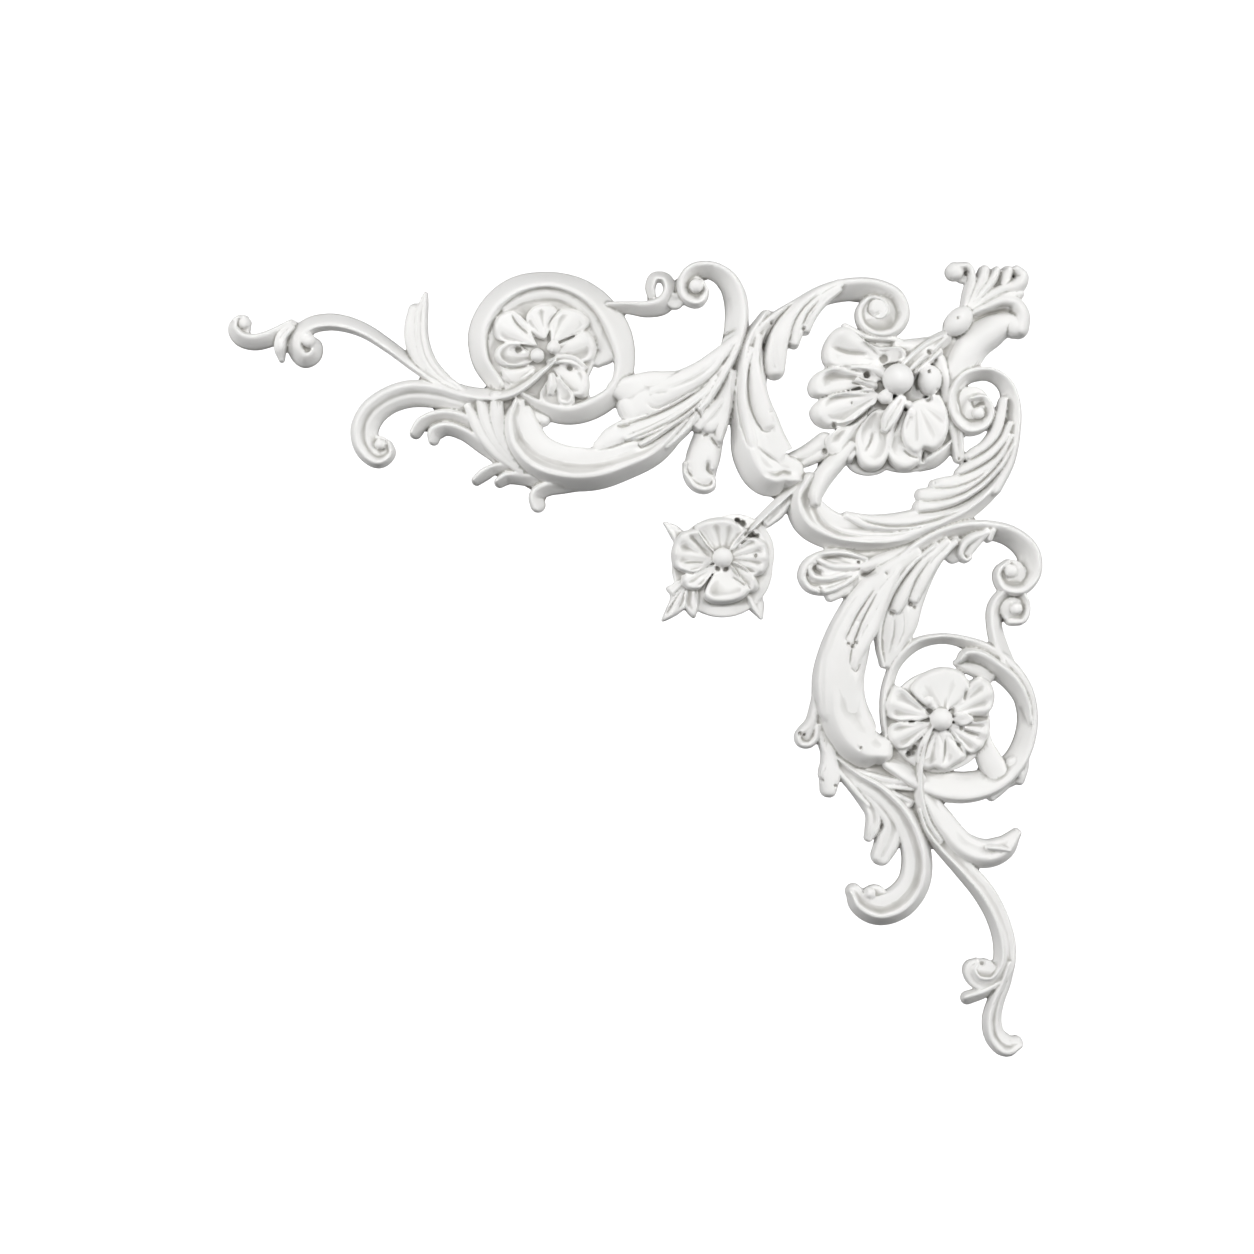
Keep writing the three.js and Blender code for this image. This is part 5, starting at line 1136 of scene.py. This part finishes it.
        bench.bead([(-36, -148, 2.4, 9), (-37.6, -158, 2.8, 9.5), (-40, -166.5, 3, 10),
            (-44, -170, 2.4, 10.4), (-46.4, -173, 1.9, 10.8), (-45, -176.4, 2.2, 11),
            (-41, -177, 2.3, 11), (-37.6, -174, 2.2, 11), (-36.4, -168, 1.8, 11)])
        bench.bead([(-37, -156, 2, 9.6), (-38.6, -166, 2.4, 10), (-42, -172.4, 3, 9.4)])
        bench.pit(-45.4, -171.6, 1.2, 3)
        bench.pit(-43.4, -172.2, 1, 2.4)
        bench.bead([(-36, -168, 2, 10), (-33, -180, 2.2, 10.6), (-26.4, -190, 2.2, 10.8),
            (-18, -200, 2.2, 10.4), (-12, -207, 2, 10)])
        bench.bead([(67.4, -180, 2, 10), (66.8, -188, 2.4, 10), (64.4, -194.8, 2.8, 9.5)])
        bench.bead([(62, -190, 3, 10), (56, -198, 3, 9.5), (50.5, -203.3, 2.4, 9)])
        bench.bead([(64, -194, 2.5, 8), (58, -197, 2.5, 8)])
        bench.leaf([(60, -186, 3, 10.6), (63.4, -190.4, 3, 10.6), (65, -193.6, 2, 10)])
        bench.pit(-15.8, -178.4, 1, 2)
        bench.stroke(Section.RIDGE, [(56, -295, 2, 10), (48, -300.5, 3, 10),
            (38.5, -303.8, 3.6, 10)], flip=True)
        bench.stroke(Section.HOOK, [(59.5, -287, 3, 11), (56.7, -296.4, 3.6, 11),
            (52.9, -305.2, 4.3, 11), (50.8, -314.5, 5, 11), (52.5, -323, 5.4, 11),
            (58, -327.6, 5.8, 11), (62.5, -326.2, 3.8, 10)], flip=True)

    def carve(self, bench: Bench) -> None:
        """Carves every form of it.

        Args:
            bench: where it is carved.
        """
        self.pendant_leaf(bench)
        self.cup_scroll(bench)
        self.small_volute(bench)
        self.ring(bench)
        self.ring_flower(bench)
        self.vine_and_tail(bench)


@dataclass
class Casting:
    """Joins the carved forms into one body and finishes its surface and its back."""

    voxel: float = 0.5 * MM
    smoothing: float = 0.5
    smoothing_rounds: int = 4
    triangle_budget: int = 190_000
    back_snap: float = 0.45 * MM
    hollow_rounds: int = 6
    hollow_span: float = 0.5 * MM
    front_depth: float = 1.5 * MM
    groove_taper: float = 0.5
    # How far off the wall the painted shade along the foot reaches, in millimetres.
    foot_height: float = 3.2
    sharp_angle: float = math.radians(62)

    def _evaluated(self, carrier: bpy.types.Object) -> bpy.types.Mesh:
        """A copy of the carrier's mesh with its modifiers applied.

        Args:
            carrier: the object, which then carries that copy.

        Returns:
            The copy.
        """
        graph = bpy.context.evaluated_depsgraph_get()
        mesh = bpy.data.meshes.new_from_object(carrier.evaluated_get(graph))
        carrier.modifiers.clear()
        carrier.data = mesh
        return mesh

    def _points(self, mesh: bpy.types.Mesh) -> np.ndarray:
        """The mesh's points as rows of x, y and z.

        Args:
            mesh: the mesh that is read.

        Returns:
            A copy of its points.
        """
        points = np.empty(len(mesh.vertices) * 3, np.float32)
        mesh.vertices.foreach_get("co", points)
        return points.reshape(-1, 3)

    def _join(self, carrier: bpy.types.Object) -> bpy.types.Mesh:
        """One skin round all forms, lightly smoothed.

        Args:
            carrier: the object that carries the forms.

        Returns:
            The skin.
        """
        remesh = carrier.modifiers.new("join", "REMESH")
        remesh.mode = "VOXEL"
        remesh.voxel_size = self.voxel
        remesh.adaptivity = 0
        smooth = carrier.modifiers.new("sand", "SMOOTH")
        smooth.factor = self.smoothing
        smooth.iterations = self.smoothing_rounds
        return self._evaluated(carrier)

    def _cut_details(self, points: np.ndarray, bench: Bench) -> None:
        """Presses grooves and pits into the front, in place.

        Args:
            points: the skin's points, which are moved.
            bench: the grooves and pits.
        """
        front = np.flatnonzero(points[:, 1] < -self.front_depth)
        tree = KDTree(len(front))
        for slot, index in enumerate(front):
            tree.insert((points[index, 0] / MM, points[index, 2] / MM, 0), slot)
        tree.balance()
        for width, depth, line in bench.grooves:
            cut: dict[int, float] = {}
            for i, row in enumerate(line):
                share = math.sin(math.pi * (i + 0.5) / len(line)) ** self.groove_taper
                for _, slot, distance in tree.find_range((row[0], row[1], 0), width):
                    amount = depth * share * (1 - (distance / width) ** 2)
                    cut[slot] = max(cut.get(slot, 0), amount)
            for slot, amount in cut.items():
                points[front[slot], 1] += amount * MM
        for x, z, radius, depth in bench.pits:
            for _, slot, distance in tree.find_range((x, z, 0), radius):
                points[front[slot], 1] += depth * (1 - (distance / radius) ** 2) ** 0.5 * MM
        np.minimum(points[:, 1], 0, out=points[:, 1])

    def _hollows(self, mesh: bpy.types.Mesh) -> None:
        """Stores how hollow each point is, from -1 to 1, and how near the wall, from 0 to 1.

        Args:
            mesh: the mesh that gets both attributes.
        """
        count = len(mesh.vertices)
        points = self._points(mesh).astype(float)
        normals = np.empty(count * 3, np.float32)
        mesh.vertex_normals.foreach_get("vector", normals)
        normals = normals.reshape(-1, 3)
        pairs = np.empty(len(mesh.edges) * 2, np.int32)
        mesh.edges.foreach_get("vertices", pairs)
        a, b = pairs.reshape(-1, 2).T
        degree = np.bincount(np.concatenate((a, b)), minlength=count)[:, None]
        blurred = points.copy()
        for _ in range(self.hollow_rounds):
            total = np.zeros_like(blurred)
            np.add.at(total, a, blurred[b])
            np.add.at(total, b, blurred[a])
            blurred = total / np.maximum(degree, 1)
        lift = ((blurred - points) * normals).sum(axis=1) / self.hollow_span
        hollow = np.clip(lift, -1, 1).astype(np.float32)
        # This hollow value sets the painted shade in the primer's hollows.
        layer = mesh.attributes.new("hollow", "FLOAT", "POINT")
        layer.data.foreach_set("value", hollow)
        # This foot value sets the painted shade along the foot by the wall.
        foot = np.clip(1 + points[:, 1] / (self.foot_height * MM), 0, 1).astype(np.float32)
        layer = mesh.attributes.new("foot", "FLOAT", "POINT")
        layer.data.foreach_set("value", foot)

    def _keep_within_frame(self, points: np.ndarray) -> None:
        """Pares off, in place, whatever stands a hair outside the frame's box."""
        low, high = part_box(NODE)
        np.clip(points, np.array(low), np.array(high), out=points)

    def make(self, bench: Bench) -> bpy.types.Object:
        """Turns the bench's forms into the finished piece.

        Args:
            bench: the carved forms, grooves and pits.

        Returns:
            The piece, at the origin, with its place in its mesh.
        """
        mesh = bpy.data.meshes.new("forms")
        bench.work.to_mesh(mesh)
        bench.work.free()
        carrier = bpy.data.objects.new("applique_cast", mesh)
        bpy.context.scene.collection.objects.link(carrier)
        mesh = self._join(carrier)
        log.info("joined skin: %d faces", len(mesh.polygons))

        points = self._points(mesh)
        self._cut_details(points, bench)
        points[points[:, 1] > -self.back_snap, 1] = 0
        mesh.vertices.foreach_set("co", points.ravel())
        mesh.update()

        thin = carrier.modifiers.new("thin", "DECIMATE")
        thin.ratio = min(1.0, self.triangle_budget / (2 * len(mesh.polygons)))
        mesh = self._evaluated(carrier)
        mesh.name = "applique_cast"
        points = self._points(mesh)
        self._keep_within_frame(points)
        mesh.vertices.foreach_set("co", points.ravel())
        self._hollows(mesh)
        mesh.shade_smooth()
        mesh.set_sharp_from_angle(angle=self.sharp_angle)
        log.info("thinned skin: %d faces", len(mesh.polygons))
        return carrier


@dataclass(frozen=True)
class PrimerFinish:
    """Matt white primer over the cast resin: fine grain, faint mottling and tiny casting pits,
    plus painted shade that greys its hollows and its foot along the wall.
    """

    base: tuple[float, float, float] = (0.79, 0.785, 0.77)
    worn: tuple[float, float, float] = (0.86, 0.855, 0.845)
    # grey of the painted shade, in hollows and along the foot by the wall
    painted_shade_tone: tuple[float, float, float] = (0.36, 0.35, 0.325)
    rough: float = 0.58
    rough_below: float = 0.08
    rough_above: float = 0.1
    specular: float = 0.42
    grain_scale: float = 900.0
    grain_detail: float = 4.0
    grain_share: float = 0.35
    casting_pit_scale: float = 140.0
    casting_pit_edge: tuple[float, float] = (0.03, 0.1)
    bump_strength: float = 0.25
    bump_depth: float = 0.12 * MM
    cloud_scale: float = 28.0
    cloud_detail: float = 5.0
    cloud_edge: tuple[float, float] = (0.35, 0.65)
    # span of hollowness over which the painted shade in hollows comes in
    hollow_shade_span: tuple[float, float] = (0.08, 0.9)
    # weight of the painted shade along the foot, near the wall
    foot_shade_weight: float = 1.2
    painted_shade_amount: float = 0.9
    mottle_amount: float = 0.6

    def _group(self, name: str, ins: list[tuple[str, float]],
               outs: list[tuple[str, str]]) -> bpy.types.ShaderNodeTree:
        """An empty node group with named inputs and outputs.

        Args:
            name: the group's name.
            ins: each input with its default value.
            outs: each output with its kind of socket.

        Returns:
            The group.
        """
        group = bpy.data.node_groups.new(name, "ShaderNodeTree")
        for label, value in ins:
            socket = group.interface.new_socket(label, in_out="INPUT",
                                                socket_type="NodeSocketFloat")
            socket.default_value = value
        for label, kind in outs:
            group.interface.new_socket(label, in_out="OUTPUT", socket_type=kind)
        return group

    def grain_group(self) -> bpy.types.ShaderNodeTree:
        """Grain of sprayed primer with scattered casting pits, as a height and a mask.

        Returns:
            The node group.
        """
        group = self._group("primer_grain", [("Grain Scale", self.grain_scale),
                                             ("Pit Scale", self.casting_pit_scale)],
                            [("Height", "NodeSocketFloat"), ("Mask", "NodeSocketFloat")])
        nodes, links = group.nodes, group.links
        entry, leave = nodes.new("NodeGroupInput"), nodes.new("NodeGroupOutput")
        place = nodes.new("ShaderNodeTexCoord")
        grain = nodes.new("ShaderNodeTexNoise")
        grain.inputs["Detail"].default_value = self.grain_detail
        links.new(place.outputs["Object"], grain.inputs["Vector"])
        links.new(entry.outputs["Grain Scale"], grain.inputs["Scale"])
        cells = nodes.new("ShaderNodeTexVoronoi")
        links.new(place.outputs["Object"], cells.inputs["Vector"])
        links.new(entry.outputs["Pit Scale"], cells.inputs["Scale"])
        pits = nodes.new("ShaderNodeMapRange")
        self._set_span(pits, self.casting_pit_edge)
        links.new(cells.outputs["Distance"], pits.inputs["Value"])
        mixed = nodes.new("ShaderNodeMath")
        mixed.operation = "MULTIPLY_ADD"
        mixed.inputs[1].default_value = self.grain_share
        links.new(grain.outputs["Fac"], mixed.inputs[0])
        links.new(pits.outputs["Result"], mixed.inputs[2])
        links.new(mixed.outputs["Value"], leave.inputs["Height"])
        links.new(grain.outputs["Fac"], leave.inputs["Mask"])
        return group

    def shade_group(self) -> bpy.types.ShaderNodeTree:
        """Tone of the primer: random mottling, and painted shade that greys its hollows and its
        foot along the wall.

        Returns:
            The node group.
        """
        group = self._group("primer_tone_and_painted_shade", [("Painted Shade", 1.0), ("Mottle", 1.0)],
                            [("Color", "NodeSocketColor"), ("Painted Shade Mask", "NodeSocketFloat")])
        nodes, links = group.nodes, group.links
        entry, leave = nodes.new("NodeGroupInput"), nodes.new("NodeGroupOutput")
        hollow = nodes.new("ShaderNodeAttribute")
        hollow.attribute_name = "hollow"
        place = nodes.new("ShaderNodeTexCoord")
        cloud = nodes.new("ShaderNodeTexNoise")
        cloud.inputs["Scale"].default_value = self.cloud_scale
        cloud.inputs["Detail"].default_value = self.cloud_detail
        links.new(place.outputs["Object"], cloud.inputs["Vector"])
        # Painted shade: hollow places are greyed, standing in for the shade that falls in them.
        hollow_shade = nodes.new("ShaderNodeMapRange")
        self._set_span(hollow_shade, self.hollow_shade_span)
        links.new(hollow.outputs["Fac"], hollow_shade.inputs["Value"])
        # Painted shade along the foot by the wall, added to the painted shade in hollows.
        foot = nodes.new("ShaderNodeAttribute")
        foot.attribute_name = "foot"
        edge = nodes.new("ShaderNodeMath")
        edge.operation = "MULTIPLY_ADD"
        edge.inputs[1].default_value = self.foot_shade_weight
        edge.use_clamp = True
        links.new(foot.outputs["Fac"], edge.inputs[0])
        links.new(hollow_shade.outputs["Result"], edge.inputs[2])
        # Strength of the painted shade, from hollows and foot together.
        amount = self._product(group, edge.outputs["Value"], entry.outputs["Painted Shade"])
        ramp = nodes.new("ShaderNodeMapRange")
        self._set_span(ramp, self.cloud_edge)
        links.new(cloud.outputs["Fac"], ramp.inputs["Value"])
        mottle = self._product(group, ramp.outputs["Result"], entry.outputs["Mottle"])
        tone = self._mix(nodes, self.base, self.worn)
        links.new(mottle, tone.inputs["Factor"])
        # Mixes the painted shade grey into the mottled tone.
        shaded_tone = self._mix(nodes, self.base, self.painted_shade_tone)
        links.new(tone.outputs["Result"], shaded_tone.inputs["A"])
        links.new(amount, shaded_tone.inputs["Factor"])
        links.new(shaded_tone.outputs["Result"], leave.inputs["Color"])
        links.new(amount, leave.inputs["Painted Shade Mask"])
        return group

    def _product(self, group: bpy.types.ShaderNodeTree, first: bpy.types.NodeSocket,
                 second: bpy.types.NodeSocket) -> bpy.types.NodeSocket:
        """The product of two sockets' values, as a socket of its own.

        Args:
            group: where the node is made.
            first, second: the sockets.

        Returns:
            The socket of the product.
        """
        node = group.nodes.new("ShaderNodeMath")
        node.operation = "MULTIPLY"
        group.links.new(first, node.inputs[0])
        group.links.new(second, node.inputs[1])
        return node.outputs["Value"]

    def _set_span(self, node: bpy.types.Node, span: tuple[float, float]) -> None:
        """Sets the span of values over which a range node goes from 0 to 1."""
        node.inputs["From Min"].default_value, node.inputs["From Max"].default_value = span

    def _mix(self, nodes: bpy.types.Nodes, a: tuple[float, float, float],
             b: tuple[float, float, float]) -> bpy.types.Node:
        """A colour mix between two tones; its Result is a colour.

        Args:
            nodes: where the node is made.
            a, b: the tones at factor 0 and 1.

        Returns:
            The mix node.
        """
        mix = nodes.new("ShaderNodeMix")
        mix.data_type = "RGBA"
        mix.inputs["A"].default_value = (*a, 1)
        mix.inputs["B"].default_value = (*b, 1)
        return mix

    def material(self) -> bpy.types.Material:
        """The finished material.

        Returns:
            The material, ready for its slot.
        """
        material = bpy.data.materials.new("white_primer")
        material.use_nodes = True
        nodes, links = material.node_tree.nodes, material.node_tree.links
        shader = nodes["Principled BSDF"]
        shader.inputs["Specular IOR Level"].default_value = self.specular
        shader.inputs["Metallic"].default_value = 0.0
        tone = nodes.new("ShaderNodeGroup")
        tone.node_tree = self.shade_group()
        # Strength of the painted shade in hollows and along the foot.
        tone.inputs["Painted Shade"].default_value = self.painted_shade_amount
        tone.inputs["Mottle"].default_value = self.mottle_amount
        links.new(tone.outputs["Color"], shader.inputs["Base Color"])
        grain = nodes.new("ShaderNodeGroup")
        grain.node_tree = self.grain_group()
        gloss = nodes.new("ShaderNodeMapRange")
        gloss.inputs["To Min"].default_value = self.rough - self.rough_below
        gloss.inputs["To Max"].default_value = self.rough + self.rough_above
        links.new(grain.outputs["Mask"], gloss.inputs["Value"])
        links.new(gloss.outputs["Result"], shader.inputs["Roughness"])
        bump = nodes.new("ShaderNodeBump")
        bump.inputs["Strength"].default_value = self.bump_strength
        bump.inputs["Distance"].default_value = self.bump_depth
        links.new(grain.outputs["Height"], bump.inputs["Height"])
        links.new(bump.outputs["Normal"], shader.inputs["Normal"])
        return material


@dataclass(frozen=True)
class Studio:
    """Camera, lights and pale surroundings of a product shot on white."""

    lens: float = 100.0
    sensor: float = 36.0
    clip: tuple[float, float] = (0.05, 50.0)
    key_power: float = 31.0
    key_place: tuple[float, float, float] = (0.0, -1.8, 0.62)
    key_size: tuple[float, float] = (3.0, 0.4)
    side_power: float = 16.0
    side_place: tuple[float, float, float] = (1.6, -0.8, 0.5)
    side_size: tuple[float, float] = (1.0, 1.0)
    sky: float = 0.07
    sky_tint: tuple[float, float, float] = (1.0, 0.995, 0.985)
    backdrop_y: float = 2.6
    floor_z: float = -1.1
    floor_front: float = -6.0
    cove_radius: float = 0.8
    cove_half_width: float = 7.0
    backdrop_height: float = 5.0
    cove_rows: int = 24
    floor_share: float = 0.25
    wall_share: float = 0.75
    floor_tone: float = 0.93
    floor_rough: float = 0.9
    floor_glow: float = 1.0

    @property
    def centre(self) -> Vector:
        """The middle of the photograph's frame, on the wall plane."""
        half = PHOTO_PIXELS / 2
        x = (half - ORIGIN_PIXEL[0]) * MM_PER_PIXEL * MM
        z = (ORIGIN_PIXEL[1] - half) * MM_PER_PIXEL * MM
        return Vector((x, 0, z))

    def camera(self) -> None:
        """A long lens straight in front, framed as the photograph is."""
        data = bpy.data.cameras.new("camera")
        data.lens, data.sensor_width = self.lens, self.sensor
        data.sensor_fit = "AUTO"
        camera = bpy.data.objects.new("camera", data)
        bpy.context.scene.collection.objects.link(camera)
        width = PHOTO_PIXELS * MM_PER_PIXEL * MM
        distance = width / 2 / (self.sensor / 2 / self.lens)
        camera.location = self.centre + Vector((0, -distance, 0))
        camera.rotation_euler = (math.pi / 2, 0, 0)
        data.clip_start, data.clip_end = self.clip
        bpy.context.scene.camera = camera

    def _area(self, name: str, place: Vector, target: Vector, size: tuple[float, float],
              power: float) -> None:
        """One soft box that looks at a target.

        Args:
            name: the light's name.
            place: where it stands.
            target: the place that it looks at.
            size: its width and height.
            power: its power in watts.
        """
        data = bpy.data.lights.new(name, "AREA")
        data.shape = "RECTANGLE"
        data.size, data.size_y = size
        data.energy = power
        light = bpy.data.objects.new(name, data)
        bpy.context.scene.collection.objects.link(light)
        light.location = place
        light.rotation_mode = "QUATERNION"
        light.rotation_quaternion = (target - place).to_track_quat("-Z", "Y")

    def lights(self) -> None:
        """A long low box from the front, a box at each side, and a weak white sky."""
        aim = self.centre
        self._area("key", aim + Vector(self.key_place), aim, self.key_size, self.key_power)
        across, front, up = self.side_place
        for name, x in (("left", -across), ("right", across)):
            place = aim + Vector((x, front, up))
            self._area(name, place, aim, self.side_size, self.side_power)
        world = bpy.data.worlds.new("studio")
        world.use_nodes = True
        sky = world.node_tree.nodes["Background"]
        sky.inputs["Color"].default_value = (*self.sky_tint, 1)
        sky.inputs["Strength"].default_value = self.sky
        bpy.context.scene.world = world

    def cove(self) -> None:
        """A pale floor that curves up into a backdrop far behind the object."""
        shell = bmesh.new()
        bmesh.ops.create_grid(shell, x_segments=1, y_segments=self.cove_rows, size=1)
        radius = self.cove_radius
        floor_end = self.backdrop_y - radius
        for vert in shell.verts:
            run = (vert.co.y + 1) / 2
            if run < self.floor_share:
                share = run / self.floor_share
                y, z = self.floor_front + (floor_end - self.floor_front) * share, 0.0
            elif run < self.wall_share:
                share = (run - self.floor_share) / (self.wall_share - self.floor_share)
                angle = share * math.pi / 2
                y = floor_end + radius * math.sin(angle)
                z = radius - radius * math.cos(angle)
            else:
                share = (run - self.wall_share) / (1 - self.wall_share)
                y, z = self.backdrop_y, radius + share * self.backdrop_height
            vert.co = (vert.co.x * self.cove_half_width, y, self.floor_z + z)
        mesh = bpy.data.meshes.new("cove")
        shell.to_mesh(mesh)
        shell.free()
        mesh.shade_smooth()
        cove = bpy.data.objects.new("cove", mesh)
        bpy.context.scene.collection.objects.link(cove)
        paint = bpy.data.materials.new("pale_floor")
        paint.use_nodes = True
        shader = paint.node_tree.nodes["Principled BSDF"]
        shader.inputs["Base Color"].default_value = (*[self.floor_tone] * 3, 1)
        shader.inputs["Roughness"].default_value = self.floor_rough
        shader.inputs["Emission Color"].default_value = (1, 1, 1, 1)
        shader.inputs["Emission Strength"].default_value = self.floor_glow
        mesh.materials.append(paint)
        cove.visible_diffuse = False


def main() -> None:
    """Carves the forms, casts them as one piece, finishes it and sets up the studio."""
    logging.basicConfig(level=logging.INFO, format="%(name)s: %(message)s")
    studio = Studio()
    studio.camera()
    studio.lights()
    studio.cove()
    bench = Bench()
    for sub_assembly in (UpperWing(), Centre(), Rosette(), LowerWing()):
        sub_assembly.carve(bench)
        log.info("%s carved: %d points so far", type(sub_assembly).__name__, len(bench.work.verts))
    piece = Casting().make(bench)
    piece.data.materials.clear()
    piece.data.materials.append(PrimerFinish().material())
    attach(piece, BODY)
    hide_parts(NODE)
    log.info("%s is done: %d faces", piece.name, len(piece.data.polygons))
    scene = bpy.context.scene
    scene.view_settings.view_transform = "Standard"
    scene.view_settings.look = "None"


if __name__ == "__main__":
    main()
